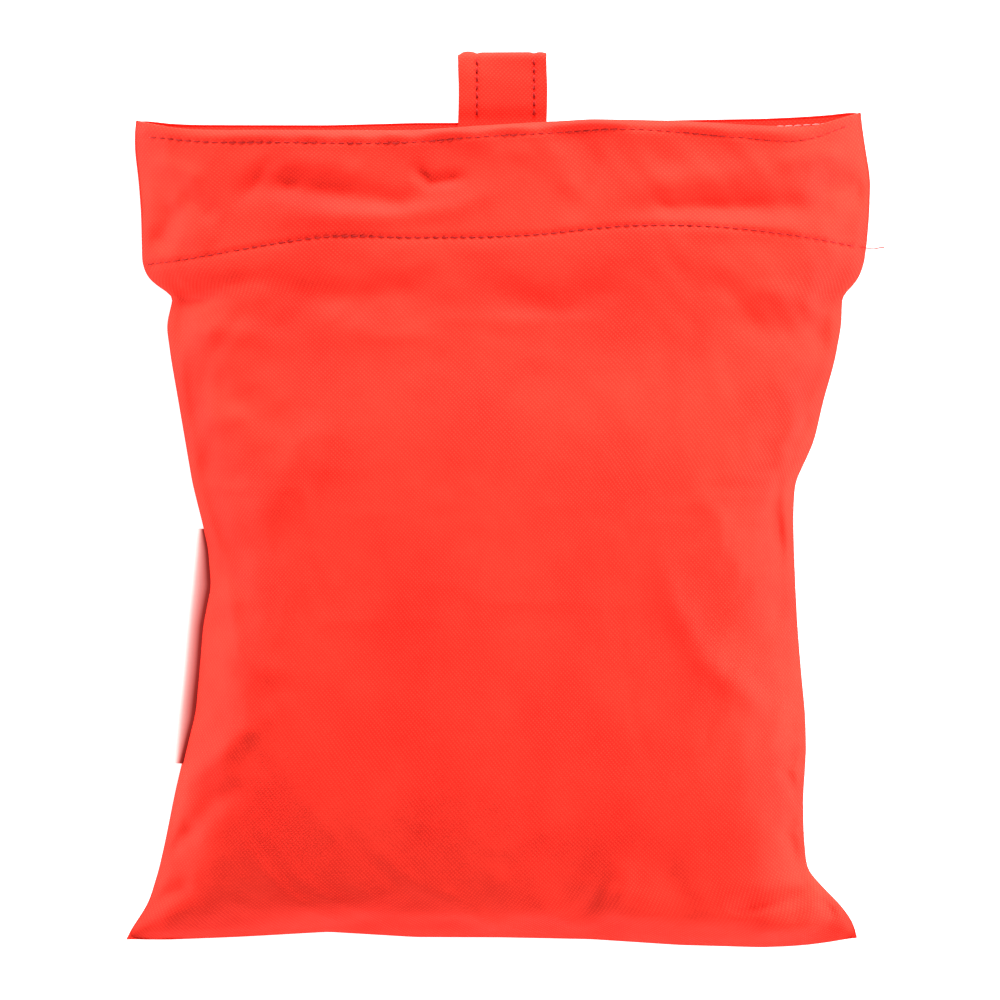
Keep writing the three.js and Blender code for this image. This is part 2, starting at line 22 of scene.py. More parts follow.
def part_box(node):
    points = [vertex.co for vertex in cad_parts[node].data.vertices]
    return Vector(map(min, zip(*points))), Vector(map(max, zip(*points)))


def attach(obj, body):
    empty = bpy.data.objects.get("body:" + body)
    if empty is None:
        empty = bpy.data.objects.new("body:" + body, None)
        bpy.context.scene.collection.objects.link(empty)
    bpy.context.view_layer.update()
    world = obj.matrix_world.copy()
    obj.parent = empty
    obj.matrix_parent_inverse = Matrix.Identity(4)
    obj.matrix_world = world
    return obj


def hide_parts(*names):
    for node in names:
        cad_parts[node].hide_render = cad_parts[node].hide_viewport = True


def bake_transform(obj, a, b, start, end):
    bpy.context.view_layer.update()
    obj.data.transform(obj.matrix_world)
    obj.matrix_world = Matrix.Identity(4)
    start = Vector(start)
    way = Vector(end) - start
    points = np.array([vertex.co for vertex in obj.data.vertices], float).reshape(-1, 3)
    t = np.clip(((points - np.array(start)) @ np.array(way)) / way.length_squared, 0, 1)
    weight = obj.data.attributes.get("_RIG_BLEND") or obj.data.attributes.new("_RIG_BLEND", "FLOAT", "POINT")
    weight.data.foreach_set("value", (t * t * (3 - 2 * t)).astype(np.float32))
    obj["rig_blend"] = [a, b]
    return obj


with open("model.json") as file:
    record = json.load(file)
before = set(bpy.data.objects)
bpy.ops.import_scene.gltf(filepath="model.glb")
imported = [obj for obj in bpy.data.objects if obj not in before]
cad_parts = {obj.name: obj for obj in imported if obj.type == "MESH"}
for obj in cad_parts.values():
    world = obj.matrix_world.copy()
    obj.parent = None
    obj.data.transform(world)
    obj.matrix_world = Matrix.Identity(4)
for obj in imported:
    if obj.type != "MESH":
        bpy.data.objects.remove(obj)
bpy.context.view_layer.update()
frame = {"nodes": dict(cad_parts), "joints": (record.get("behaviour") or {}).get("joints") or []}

# %% [markdown]
# ## Small tools
#
# A smooth curve through a few stations, a smooth step, and seeded noise are enough to shape cloth in code.
# Arrays hold one row per point, so a whole sheet moves in one line.

# %% Curves, steps and noise
MM = 0.001  # one millimetre in metres


def smooth(low, high, x):
    """0 below low, 1 above high, and an S between them."""
    t = np.clip((np.asarray(x, float) - low) / (high - low), 0, 1)
    return t * t * (3 - 2 * t)


def curve(*stations):
    """A smooth function through given (where, value) stations, flat beyond both ends."""
    xs, ys = (np.array(column, float) for column in zip(*stations))
    slope = np.gradient(ys, xs)

    def at(x):
        x = np.clip(np.asarray(x, float), xs[0], xs[-1])
        i = np.clip(np.searchsorted(xs, x) - 1, 0, len(xs) - 2)
        h = xs[i + 1] - xs[i]
        t = (x - xs[i]) / h
        s = 1 - t
        ends = ys[i] * (1 + 2 * t) * s * s + ys[i + 1] * t * t * (3 - 2 * t)
        return ends + h * t * s * (slope[i] * s - slope[i + 1] * t)

    return at


def bumpy(points, size, seed):
    """Smooth noise from -1 to 1 over points, size millimetres across."""
    shift = Vector((seed * 17.3, seed * -9.1, seed * 4.7))
    return np.array([noise.noise(Vector(p) / size + shift) for p in points]) * 1.8


# %% [markdown]
# ## Reading the measured model
#
# The outline comes from where the measured sheets' edges cross a line, and the height from a ray dropped on
# them.

# %% Outline and height of the measured sheets
def measured(*names):
    """The points and triangles of some measured nodes, in millimetres."""
    points, faces = [], []
    for name in names:
        mesh = frame["nodes"][name].data
        mesh.calc_loop_triangles()
        first = len(points)
        points += [tuple(v.co / MM) for v in mesh.vertices]
        faces += [tuple(first + i for i in t.vertices) for t in mesh.loop_triangles]
    return np.array(points), np.array(faces)


class Sheet:
    """A measured sheet, to ask for its outline and its height."""

    def __init__(self, *names):
        self.points, self.faces = measured(*names)
        self.tree = BVHTree.FromPolygons(self.points.tolist(), self.faces.tolist())
        pairs = np.vstack([self.faces[:, [0, 1]], self.faces[:, [1, 2]], self.faces[:, [2, 0]]])
        self.a, self.b = self.points[pairs[:, 0]], self.points[pairs[:, 1]]

    def crossing(self, axis, value):
        """Lowest and highest place along the other axis where the sheet crosses axis = value, or None."""
        a, b = self.a, self.b
        hit = (a[:, axis] - value) * (b[:, axis] - value) < 0
        if not hit.any():
            return None
        t = (value - a[hit, axis]) / (b[hit, axis] - a[hit, axis])
        other = a[hit, 1 - axis] + t * (b[hit, 1 - axis] - a[hit, 1 - axis])
        return other.min(), other.max()

    def edge(self, axis, values, side):
        """The lower (side 0) or upper (side 1) edge at many values, carried over small gaps."""
        found = [(v, self.crossing(axis, v)) for v in values]
        known = [(v, c[side]) for v, c in found if c]
        return np.interp(values, [k[0] for k in known], [k[1] for k in known])

    def top(self, x, y):
        """Height of the upper face at a point, or of the nearest point of the sheet beside it."""
        place, *_ = self.tree.ray_cast(Vector((x, y, 100)), Vector((0, 0, -1)))
        if place is None:
            place, *_ = self.tree.find_nearest(Vector((x, y, 30)))
        return place.z


front_cad = Sheet("front_panel", "mouth_band")
back_cad = Sheet("back_panel")
blanket_low, blanket_high = (np.array(c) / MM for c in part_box("fire_blanket"))
hinge = next(j for j in frame["joints"] if j["name"] == "mouth_open")
HINGE_Y = hinge["pos_m"][1] / MM
print("folded blanket, mm:", np.round(blanket_high - blanket_low, 1))
print("mouth bends at y, mm:", round(HINGE_Y, 1))

# %% [markdown]
# ## The grid that both sides of the pouch share
#
# A sheet of cloth is a grid. Its rows follow the bottom edge at one end and the rim at the other, and its
# columns spread between the side seams. Front and back use the same rows, so that their edges meet all
# along the seams.

# %% Grid over the outline
COLUMNS, ROWS = 84, 96
MIDDLE_X = 0.5 * (blanket_low[0] + blanket_high[0])
EDGE_REACH = 30  # how far in from the bottom and the rim the rows still follow those edges
CORNERS_X = (-126.0, 125.9)  # just inside the corners, where the bottom and the rim end
LOW_Y, HIGH_Y = -152.6, 131.0  # the stretch where both side seams have an edge to follow


def grid(sheet, low_y, high_y, rows):
    """(rows, columns, 2) places in plan for one side of the pouch."""
    middle = np.array([MIDDLE_X])
    y_bottom, y_rim = sheet.edge(0, middle, 0)[0], sheet.edge(0, middle, 1)[0]
    nominal = np.linspace(y_bottom, y_rim, rows)
    inside = np.clip(nominal, low_y, high_y)
    left, right = sheet.edge(1, inside, 0), sheet.edge(1, inside, 1)
    u = np.linspace(0, 1, COLUMNS)
    out = np.zeros((rows, COLUMNS, 2))
    for r in range(rows):
        x = left[r] + (right[r] - left[r]) * u
        down = float(1 - smooth(y_bottom, y_bottom + EDGE_REACH, nominal[r]))
        up = float(smooth(y_rim - EDGE_REACH, y_rim, nominal[r]))
        x_in = np.clip(x, *CORNERS_X)
        out[r, :, 0] = x
        dip, peak = sheet.edge(0, x_in, 0) - y_bottom, sheet.edge(0, x_in, 1) - y_rim
        out[r, :, 1] = nominal[r] + dip * down + peak * up
    return out


front_plan = grid(front_cad, LOW_Y, HIGH_Y, ROWS)
back_plan = grid(back_cad, LOW_Y, HIGH_Y, ROWS)
# The two sides are one seam along their edges.
for plan_edge in (0, -1):
    shared = 0.5 * (front_plan[:, plan_edge] + back_plan[:, plan_edge])
    front_plan[:, plan_edge] = shared
    back_plan[:, plan_edge] = shared
front_plan[0] = back_plan[0] = 0.5 * (front_plan[0] + back_plan[0])
widths = np.ptp(front_plan[:, :, 0], axis=1)
print("pouch width, mm: from", round(float(widths.min()), 1), "to", round(float(widths.max()), 1))

# %% [markdown]
# ## Heights of both sides
#
# A ray dropped on the measured sheet gives the height at every place of the grid. Its flat facets would
# catch the light as bands, so the heights are averaged with their neighbours many times along the pouch,
# where the facets are long, and fewer times across it. Front and back are then brought together at the sewn
# edges.


# %% Heights of both sides
def side_distance(places):
    """How far each place of a grid is from the nearer side seam."""
    x = places[..., 0]
    return np.minimum(x - x[:, :1], x[:, -1:] - x)


def bottom_distance(places):
    """How far each place of a grid is from the bottom seam."""
    return places[..., 1] - places[:1, :, 1]


PASSES_ALONG, PASSES_ACROSS = 60, 12


def heights(sheet, plan):
    """Height of the measured sheet under each place, its facets smoothed away."""
    z = np.array([[sheet.top(x, y) for x, y in row] for row in plan])
    for _ in range(PASSES_ALONG):
        z[1:-1] = 0.5 * z[1:-1] + 0.25 * (z[:-2] + z[2:])
    for _ in range(PASSES_ACROSS):
        z[:, 1:-1] = 0.5 * z[:, 1:-1] + 0.25 * (z[:, :-2] + z[:, 2:])
    return z


BACK_SINK = 0.25  # the cloth made here is thinner than the measured ply
SEAM_RISE = 1.3  # a turned seam stands up a little from the table
SPREAD = 13.0  # how far from the seam the front's edge comes down to meet the back
SEWN_EDGES = ((slice(None), 0), (slice(None), -1), (0, slice(None)))

front_z = heights(front_cad, front_plan)
back_z = heights(back_cad, back_plan) - BACK_SINK
for sewn in SEWN_EDGES:
    back_z[sewn] += SEAM_RISE
near_side, near_bottom = side_distance(front_plan), bottom_distance(front_plan)
gap = front_z - back_z
side_step = np.where(front_plan[..., 0] < MIDDLE_X, gap[:, :1], gap[:, -1:])
side_share = 1 - smooth(-SPREAD, SPREAD, near_side)
bottom_share = 1 - smooth(-SPREAD, SPREAD, near_bottom)
front_z -= np.maximum(side_step * 2 * side_share, gap[:1, :] * 2 * bottom_share)
for sewn in SEWN_EDGES:
    front_z[sewn] = back_z[sewn]
back_base = np.dstack([back_plan, back_z])
print("left seam's height, mm, least and most:", np.round([back_z[:, 0].min(), back_z[:, 0].max()], 1))

# %% [markdown]
# ## The lie of the front
#
# The measured front is level over the blanket. Real cloth over a folded blanket is not: it slopes away on
# all sides and sinks a little towards the mouth, where there is no blanket under it. These slow slopes are
# what the side lights show first, so they come before any fold.

# %% Slow slopes of the front
def lie(plan):
    """How much lower the cloth lies than the measured front, over the whole sheet."""
    x, y = plan[..., 0], plan[..., 1]
    over_blanket = smooth(-146, -118, y) * (1 - smooth(48, 76, y))
    tilt = 0.02 * np.maximum(x + 10, 0)
    to_mouth = 3.4 * smooth(8, 62, y) - 2.2 * smooth(62, 86, y)
    to_bottom = 1.6 * (1 - smooth(-138, -96, y))
    swell = 0.9 * np.exp(-(((x + 30) / 55) ** 2) - (((y + 70) / 60) ** 2))
    return (tilt + to_bottom) * over_blanket + to_mouth - swell


def bank(plan, z, foot, power, side):
    """The cloth's long slope from a side seam up to the foot line, steepest at the seam."""
    out = z.copy()
    seam = 0 if side < 0 else -1
    for r in range(len(plan)):
        x, y = plan[r, :, 0], plan[r, 0, 1]
        width = side * (x[seam] - foot[r])
        t = np.clip(side * (x[seam] - x) / width, 0, 1)
        level = float(np.interp(foot[r], x, z[r]))
        slope = z[r, seam] + (level - z[r, seam]) * (1 - (1 - t) ** power)
        share = float(smooth(-148, -125, y) * (1 - smooth(40, 72, y)))
        out[r] = np.where(t < 1, z[r] + (slope - z[r]) * share, z[r])
    return out


PRESS = 0.27  # share of the blanket's thickness lost at its edges, where the pouch is drawn tight over it
PRESS_REACH = 34.0  # how far in from those edges the blanket is full again
BESIDE = 5  # how far outside the blanket the room over it fades away
SOFT = 0.6  # how gently the room is given


def pressed(x, y):
    """Share of the blanket's thickness left at a place: all in its middle, less near three of its sides."""
    inside = np.minimum(np.minimum(x - blanket_low[0], blanket_high[0] - x), y - blanket_low[1])
    return 1 - PRESS * (1 - smooth(0, PRESS_REACH, inside))


def clear_of_blanket(points, room):
    """Lifts points that lie lower than room above the blanket, softly, and counts them."""
    x, y, z = points[..., 0], points[..., 1], points[..., 2]
    over_it = smooth(blanket_low[0] - BESIDE, blanket_low[0], x)
    over_it = over_it * (1 - smooth(blanket_high[0], blanket_high[0] + BESIDE, x))
    over_it = over_it * smooth(blanket_low[1] - BESIDE, blanket_low[1], y)
    top = blanket_low[2] + (blanket_high[2] - blanket_low[2]) * pressed(x, y)
    least = (top + room) * over_it
    over = z - least
    points = points.copy()
    points[..., 2] = np.where(over < SOFT, least + SOFT * np.exp(np.minimum(over / SOFT - 1, 0)), z)
    print("points lifted off the blanket:", int((over < SOFT).sum()), "of", z.size)
    return points


# Where each slope ends, as (y, x): far in where the cloth is slack, close to the seam where it is tight.
left_foot = curve(
    (-140, -100), (-133, -96), (-91, -88), (-60, -78), (-35, -67), (-21, -59), (0, -62), (20, -70), (60, -84)
)
right_foot = curve((-140, 80), (-110, 60), (-60, 44), (-10, 44), (30, 60), (60, 86))
LEFT_POWER, RIGHT_POWER = 2.1, 3.6
lowered = front_z - lie(front_plan) * smooth(0, 10, near_side) * smooth(0, 10, near_bottom)
lowered = bank(front_plan, lowered, left_foot(front_plan[:, 0, 1]), LEFT_POWER, -1)
lowered = bank(front_plan, lowered, right_foot(front_plan[:, 0, 1]), RIGHT_POWER, 1)
front_base = clear_of_blanket(np.dstack([front_plan, lowered]), 0.9)
print("front height, mm:", round(float(front_z.max()), 1), "grid", front_base.shape)

# %% [markdown]
# ## Meshes from grids
#
# A grid becomes a mesh with a UV map in metres of cloth, so that a weave drawn on it follows the threads.

# %% Grid to mesh
def new_object(name, points, faces):
    """A mesh object from points in millimetres."""
    mesh = bpy.data.meshes.new(name)
    corners = [tuple(p) for p in np.asarray(points) * MM]
    mesh.from_pydata(corners, [], [tuple(int(i) for i in f) for f in faces])
    mesh.update()
    obj = bpy.data.objects.new(name, mesh)
    bpy.context.scene.collection.objects.link(obj)
    for polygon in mesh.polygons:
        polygon.use_smooth = True
    return obj


def grid_faces(rows, columns, first=0, flip=False):
    """Quads of a grid whose points are numbered row by row."""
    r, c = np.meshgrid(np.arange(rows - 1), np.arange(columns - 1), indexing="ij")
    a = first + (r * columns + c).ravel()
    quads = np.stack([a, a + 1, a + columns + 1, a + columns], axis=1)
    return quads[:, ::-1] if flip else quads


def set_uv(obj, flat):
    """Each point's place on the flat cloth, in metres, as the UV map."""
    layer = obj.data.uv_layers.new(name="cloth")
    index = np.zeros(len(obj.data.loops), int)
    obj.data.loops.foreach_get("vertex_index", index)
    layer.data.foreach_set("uv", (np.asarray(flat)[index] * MM).astype(np.float32).ravel())


def points_of(obj):
    """A mesh's points in millimetres."""
    flat = np.zeros(len(obj.data.vertices) * 3)
    obj.data.vertices.foreach_get("co", flat)
    return flat.reshape(-1, 3) / MM


def apply_modifiers(obj):
    """The mesh as its modifiers leave it, kept."""
    bpy.context.view_layer.update()
    evaluated = obj.evaluated_get(bpy.context.evaluated_depsgraph_get())
    made = bpy.data.meshes.new_from_object(evaluated)
    obj.modifiers.clear()
    old = obj.data
    obj.data = made
    bpy.data.meshes.remove(old)


def subdivided(points, times):
    """A grid of points made finer by smooth subdivision, its border kept."""
    rows, columns, _ = points.shape
    obj = new_object("finer", points.reshape(-1, 3), grid_faces(rows, columns))
    index = np.arange(rows * columns)
    set_uv(obj, np.stack([index % columns, index // columns], axis=1) * 1.0)
    finer = obj.modifiers.new("finer", "SUBSURF")
    finer.levels = times
    finer.boundary_smooth = "PRESERVE_CORNERS"
    apply_modifiers(obj)
    spot = np.zeros((len(obj.data.vertices), 2))
    layer = obj.data.uv_layers[0].data
    for loop, uv in zip(obj.data.loops, layer):
        spot[loop.vertex_index] = uv.uv
    step = 2**times
    place = np.rint(spot / MM * step).astype(int)
    fine = np.zeros(((rows - 1) * step + 1, (columns - 1) * step + 1, 3))
    fine[place[:, 1], place[:, 0]] = points_of(obj)
    bpy.data.objects.remove(obj)
    return fine


# %% [markdown]
# ## Settling the front as cloth
#
# The front is a little larger than the form under it. Pinned along its seams and its rim, it is dropped on
# that form with gravity, and its spare cloth gathers into folds where it has room, which is near the seams.
# The back lies flat on the table and needs none of this.

# %% Cloth simulation of the front
SPARE = 0.03  # how much larger the cloth is than the form it lies on
FRAMES = 24
FARTHEST = 5.0  # no point of the cloth moves further than this
SKIN = 0.0008  # metres of air that the solver keeps between cloth and form
NYLON = {  # light cloth that hardly stretches and bends easily
    "quality": 7,
    "mass": 0.12,
    "tension_stiffness": 18,
    "compression_stiffness": 18,
    "shear_stiffness": 6,
    "bending_stiffness": 0.7,
    "air_damping": 3,
}


def settle(points):
    """The front sheet after its spare cloth has gathered into folds."""
    rows, columns, _ = points.shape
    cloth = new_object("settling", points.reshape(-1, 3), grid_faces(rows, columns))
    r, c = np.meshgrid(np.arange(rows), np.arange(columns), indexing="ij")
    border = (r == 0) | (r == rows - 1) | (c == 0) | (c == columns - 1)
    pins = cloth.vertex_groups.new(name="seams")
    pins.add([int(i) for i in np.flatnonzero(border.ravel())], 1.0, "REPLACE")
    form_points = points.copy()
    sides = side_distance(points)
    form_points[:, :, 2] -= 0.7 + 1.3 * (1 - smooth(4, 24, sides))  # lower near the seams, where folds gather
    form_points = clear_of_blanket(form_points, 0.3)
    form = new_object("form", form_points.reshape(-1, 3), grid_faces(rows, columns))
    form.modifiers.new("collide", "COLLISION")
    form.collision.thickness_outer = SKIN
    form.collision.cloth_friction = 12
    sim = cloth.modifiers.new("cloth", "CLOTH")
    for name, value in NYLON.items():
        setattr(sim.settings, name, value)
    sim.settings.shrink_min = -SPARE
    sim.settings.vertex_group_mass = "seams"
    sim.collision_settings.distance_min = SKIN
    sim.collision_settings.use_self_collision = False
    sim.point_cache.frame_start, sim.point_cache.frame_end = 1, FRAMES
    scene = bpy.context.scene
    for number in range(1, FRAMES + 1):
        scene.frame_set(number)
    apply_modifiers(cloth)
    settled = points_of(cloth).reshape(points.shape)
    scene.frame_set(1)
    bpy.data.objects.remove(cloth)
    bpy.data.objects.remove(form)
    moved = settled - points
    far = np.linalg.norm(moved, axis=2, keepdims=True)
    moved *= np.minimum(1, FARTHEST / np.maximum(far, 1e-9))
    around = moved[:-2, 1:-1] + moved[2:, 1:-1] + moved[1:-1, :-2] + moved[1:-1, 2:]
    moved[1:-1, 1:-1] = 0.4 * moved[1:-1, 1:-1] + 0.15 * around
    # Near the seams the cloth may rise or sink but not slide out past the outline.
    reach = np.minimum(sides, bottom_distance(points))[..., None]
    moved[..., :2] *= smooth(2, 16, reach)
    return points + moved


front_settled = settle(front_base)
print("cloth moved, mm:", round(float(np.abs(front_settled - front_base).max()), 2))

# %% [markdown]
# ## Folds set one by one
#
# A few folds are always there, because the hem is stiff and the folded blanket has corners. Each is a
# stroke: a line on the cloth with a width and a height, which fades at its ends. A height below zero is a
# hollow.

# %% Strokes on the front
STROKES = [
    # places along the fold, width, height
    ([(-96, 108), (-75, 109), (-55, 106), (-34, 103), (-18, 105)], 4.6, -2.1),
    ([(-90, 119), (-62, 117), (-40, 113)], 4.2, 1.0),
    ([(-31, 117), (-24, 110), (-9, 112)], 2.8, -1.6),
    ([(-80, 98), (-45, 98), (-15, 101), (8, 110)], 4.0, 1.3),
    ([(-119, 86), (-115, 96), (-111, 104)], 4.4, -2.0),
    ([(-112, 106), (-104, 103), (-97, 97)], 3.6, -1.2),
    ([(-109, 88), (-104, 93), (-98, 88)], 4.4, 0.7),
    ([(-122, 119), (-100, 111)], 3.4, 1.0),
    ([(-93, 100), (-80, 116), (-69, 122)], 3.4, -1.1),
    ([(-4, 124), (20, 118), (30, 100)], 5.0, 1.0),
    ([(36, 126), (29, 108), (22, 95)], 5.0, -1.3),
    ([(36, 99), (57, 102), (92, 102), (124, 101)], 4.6, -2.4),
    ([(46, 110), (78, 112), (98, 116)], 5.0, 1.2),
    ([(60, 93), (90, 94), (118, 92)], 3.6, 0.9),
    ([(132, 103), (122, 110), (108, 112)], 5.4, -3.0),
    ([(124, 121), (108, 119), (94, 116)], 3.6, 1.2),
    ([(-84, 80), (-70, 72), (-50, 70), (-30, 73), (-18, 82)], 5.5, -1.5),
    ([(-12, 84), (0, 72), (20, 66), (38, 72), (50, 84)], 6.0, -1.5),
    ([(56, 86), (70, 74), (92, 72)], 5.0, -1.1),
    ([(-70, 60), (-30, 58), (0, 56)], 7.0, 0.9),
    ([(-112, 62), (-92, 58), (-69, 54)], 5.0, 1.1),
    ([(-114, 71), (-97, 74), (-76, 77)], 4.0, -1.3),
    ([(-112, 46), (-95, 39), (-78, 28), (-70, 18)], 6.0, -1.5),
    ([(-106, 30), (-96, 27), (-86, 30)], 4.0, 0.8),
    ([(-66, 32), (-68, 16), (-76, 0), (-90, -12)], 7.0, 2.0),
    ([(-104, 16), (-94, 8), (-86, 6)], 4.0, -0.8),
    ([(120, 50), (104, 58), (76, 64)], 6.5, -2.0),
    ([(118, 64), (104, 70), (84, 74)], 4.0, 1.2),
    ([(114, 42), (103, 25), (97, 6)], 3.4, 1.6),
    ([(110, 30), (99, 16)], 2.8, -1.5),
    ([(99, 12), (96, -4), (99, -22)], 2.6, -1.6),
    ([(68, -18), (78, -42), (98, -60)], 9.0, -1.3),
    ([(55, -10), (60, -35), (70, -54), (90, -70), (104, -78)], 5.0, 1.3),
    ([(106, -86), (100, -94), (106, -105)], 2.6, -1.6),
    ([(106, -108), (101, -116), (106, -127)], 2.6, -1.4),
    ([(78, -141), (97, -140), (112, -136)], 3.8, -2.6),
    ([(88, -150), (116, -148)], 3.0, 1.3),
    ([(112, -138), (119, -146)], 2.4, -1.2),
    ([(46, -124), (38, -149)], 4.5, 1.2),
    ([(55, -124), (71, -148)], 6.0, -1.0),
    ([(28, -150), (41, -126)], 4.0, -0.7),
    ([(-100, -48), (-84, -58), (-70, -60)], 5.0, 1.0),
    ([(-116, -105), (-92, -84), (-76, -70)], 4.5, 1.5),
    ([(-112, -120), (-98, -104), (-86, -98)], 4.0, -1.4),
    ([(-116, -124), (-104, -112)], 3.0, -1.2),
    ([(-121, -141), (-106, -133)], 3.0, -1.2),
    ([(-58, -30), (-20, -30)], 3.5, -0.35),
    ([(-20, -32), (-20, -124)], 3.0, -0.35),
    ([(-60, -152), (-30, -140), (-5, -150)], 4.5, -0.9),
]


def stroke_height(plan, places, width, height):
    """How much one stroke lifts each point of a plan."""
    places = np.array(places, float)
    lengths = np.linalg.norm(np.diff(places, axis=0), axis=1)
    run = np.concatenate([[0], np.cumsum(lengths)]) / lengths.sum()
    best = np.full(plan.shape[:-1], np.inf)
    where = np.zeros(plan.shape[:-1])
    for i in range(len(places) - 1):
        d = places[i + 1] - places[i]
        t = np.clip(((plan - places[i]) @ d) / (d @ d), 0, 1)
        gap = np.linalg.norm(plan - (places[i] + t[..., None] * d), axis=-1)
        closer = gap < best
        best = np.where(closer, gap, best)
        where = np.where(closer, run[i] + t * (run[i + 1] - run[i]), where)
    fade = smooth(-0.05, 0.3, where) * smooth(-0.05, 0.3, 1 - where)
    return height * fade * np.exp(-((best / width) ** 2))


# %% [markdown]
# ## Stitched lines on the front
#
# A row of stitches draws the cloth down along its whole length, and most at each hole, where the thread
# goes through. The doubled cloth above the hem's row stands a little higher than the single cloth below it,
# and the cloth between the rim's row and the rim rolls into a soft bead.

# %% Stitch lines
PITCH = 3.15  # one stitch and its hole, 8 stitches to the inch
rim_line = curve(
    (-121, 126.5), (-102, 124.3), (-77, 123.9), (-28, 123.9), (-5, 125.7), (19, 127), (43, 128.4),
    (62, 127.4), (82, 125.7), (108, 125.3), (123, 131),
)
hem_line = curve(
    (-124, 82.3), (-112, 83.3), (-94, 86), (-75, 89.2), (-59, 91.2), (-30, 90.9), (0, 91.3),
    (14, 92), (29, 93.6), (43, 94.9), (62, 95.2), (82, 94.2), (103, 91.7), (127, 88.2),
)


def drawn_down(plan, line, depth, width):
    """How far a row of stitches pulls each point of a plan down."""
    away = plan[..., 1] - line(plan[..., 0])
    along_row = 0.5 + 0.5 * np.cos(2 * np.pi * plan[..., 0] / PITCH)
    valley = np.exp(-((away / width) ** 2))
    return -depth * valley * (0.45 + 0.55 * along_row * np.exp(-((away / (0.6 * width)) ** 2)))


# %% [markdown]
# ## Putting folds, wrinkles and stitched lines on the front
#
# The settled sheet is made four times finer, and everything small is then added to its height: the folds,
# slow lumps of slack cloth, fine wrinkles that are strongest beside a seam, the doubled hem, and the
# drawn-down stitch lines. All of it fades out at the sewn edges, so that the front still meets the back
# there.


# %% Small shape of the front
def ripples_over(plan, size, seed, stretch=1.0):
    """Noise over a grid in plan, size millimetres across and stretched along the pouch."""
    rows, columns, _ = plan.shape
    flat = plan.reshape(-1, 2) * (1, stretch)
    return bumpy(np.column_stack([flat, np.zeros(len(flat))]), size, seed).reshape(rows, columns)


FINER = 2
WRINKLE = 0.6  # fine wrinkles are drawn out along the pouch
front = subdivided(front_settled, FINER)
plan = front[:, :, :2].copy()
edge_distance = side_distance(plan)
free = smooth(0, 5, edge_distance) * smooth(0, 4, bottom_distance(plan))
lift = sum(stroke_height(plan, *stroke) for stroke in STROKES)
lumps = ripples_over(plan, 34, 1)
wrinkles = ripples_over(plan, 9, 2, WRINKLE)
near_seam = 1 - smooth(4, 26, edge_distance)
in_hem = smooth(-1.5, 1.5, plan[:, :, 1] - hem_line(plan[:, :, 0]))
lift += 0.55 * lumps + wrinkles * (0.12 + 0.5 * near_seam) * (1 - 0.3 * in_hem)
lift += 0.45 * in_hem
lift += drawn_down(plan, rim_line, 0.55, 1.1) + drawn_down(plan, hem_line, 0.6, 1.3)
past_rim_row = plan[:, :, 1] - rim_line(plan[:, :, 0])
lift += 1.3 * smooth(-3.0, 4.5, past_rim_row)
front[:, :, 2] += lift * free
front = clear_of_blanket(front, 0.75)
print("small shape, mm: from", round(float(lift.min()), 1), "to", round(float(lift.max()), 1))

# %% [markdown]
# ## Hem and thickness
#
# The hem is the same sheet turned over at the rim and run back inside, so it is made by carrying the grid
# round a small half circle and back below itself. Only then does the sheet get its thickness, so the rim
# has a real fold.


# %% Turn the hem in at the rim
def with_hem(outer, depth, under):
    """Adds the turned hem: the sheet rolls over at its last row and runs back below itself."""
    across = np.gradient(outer, axis=1)
    along = np.gradient(outer, axis=0)
    normal = np.cross(across, along)
    normal /= np.linalg.norm(normal, axis=2, keepdims=True)
    tip = along[-1] / np.linalg.norm(along[-1], axis=1, keepdims=True)
    roll = [
        outer[-1] + tip * (under / 2) * math.sin(a) - normal[-1] * (under / 2) * (1 - math.cos(a))
        for a in np.linspace(0, math.pi, 7)[1:-1]
    ]
    run = np.cumsum(np.linalg.norm(np.diff(outer[::-1], axis=0), axis=2).mean(axis=1))
    count = int(np.searchsorted(run, depth))
    inner = outer[::-1][: count + 1] - normal[::-1][: count + 1] * under
    return np.concatenate([outer, np.array(roll), inner])


HEM = 40.0  # depth of the turned hem
ROLL = 0.9  # height of the folded rim
front_full = with_hem(front, HEM, ROLL)
print("front points:", front_full.shape)


def cloth_object(name, points, thickness, offset):
    """A sheet of cloth from a grid, with a UV map measured along the cloth and a real thickness."""
    rows, columns, _ = points.shape
    obj = new_object(name, points.reshape(-1, 3), grid_faces(rows, columns))
    v = np.concatenate([[0], np.cumsum(np.linalg.norm(np.diff(points, axis=0), axis=2).mean(axis=1))])
    u = np.concatenate([[0], np.cumsum(np.linalg.norm(np.diff(points, axis=1), axis=2).mean(axis=0))])
    uu, vv = np.meshgrid(u, v)
    set_uv(obj, np.stack([uu.ravel(), vv.ravel()], axis=1))
    solid = obj.modifiers.new("thickness", "SOLIDIFY")
    solid.thickness = thickness * MM
    solid.offset = offset
    apply_modifiers(obj)
    obj.data.set_sharp_from_angle(angle=math.radians(55))
    return obj


CLOTH = 0.3  # thickness of the nylon
pouch_front = cloth_object("pouch_front", front_full, CLOTH, -1)

# %% [markdown]
# ## Back of the pouch
#
# The back lies flat on the table and only rises to the seams, so it needs no simulation: a few wrinkles on
# those slopes and a stitched rim are enough. It never sinks below the table.

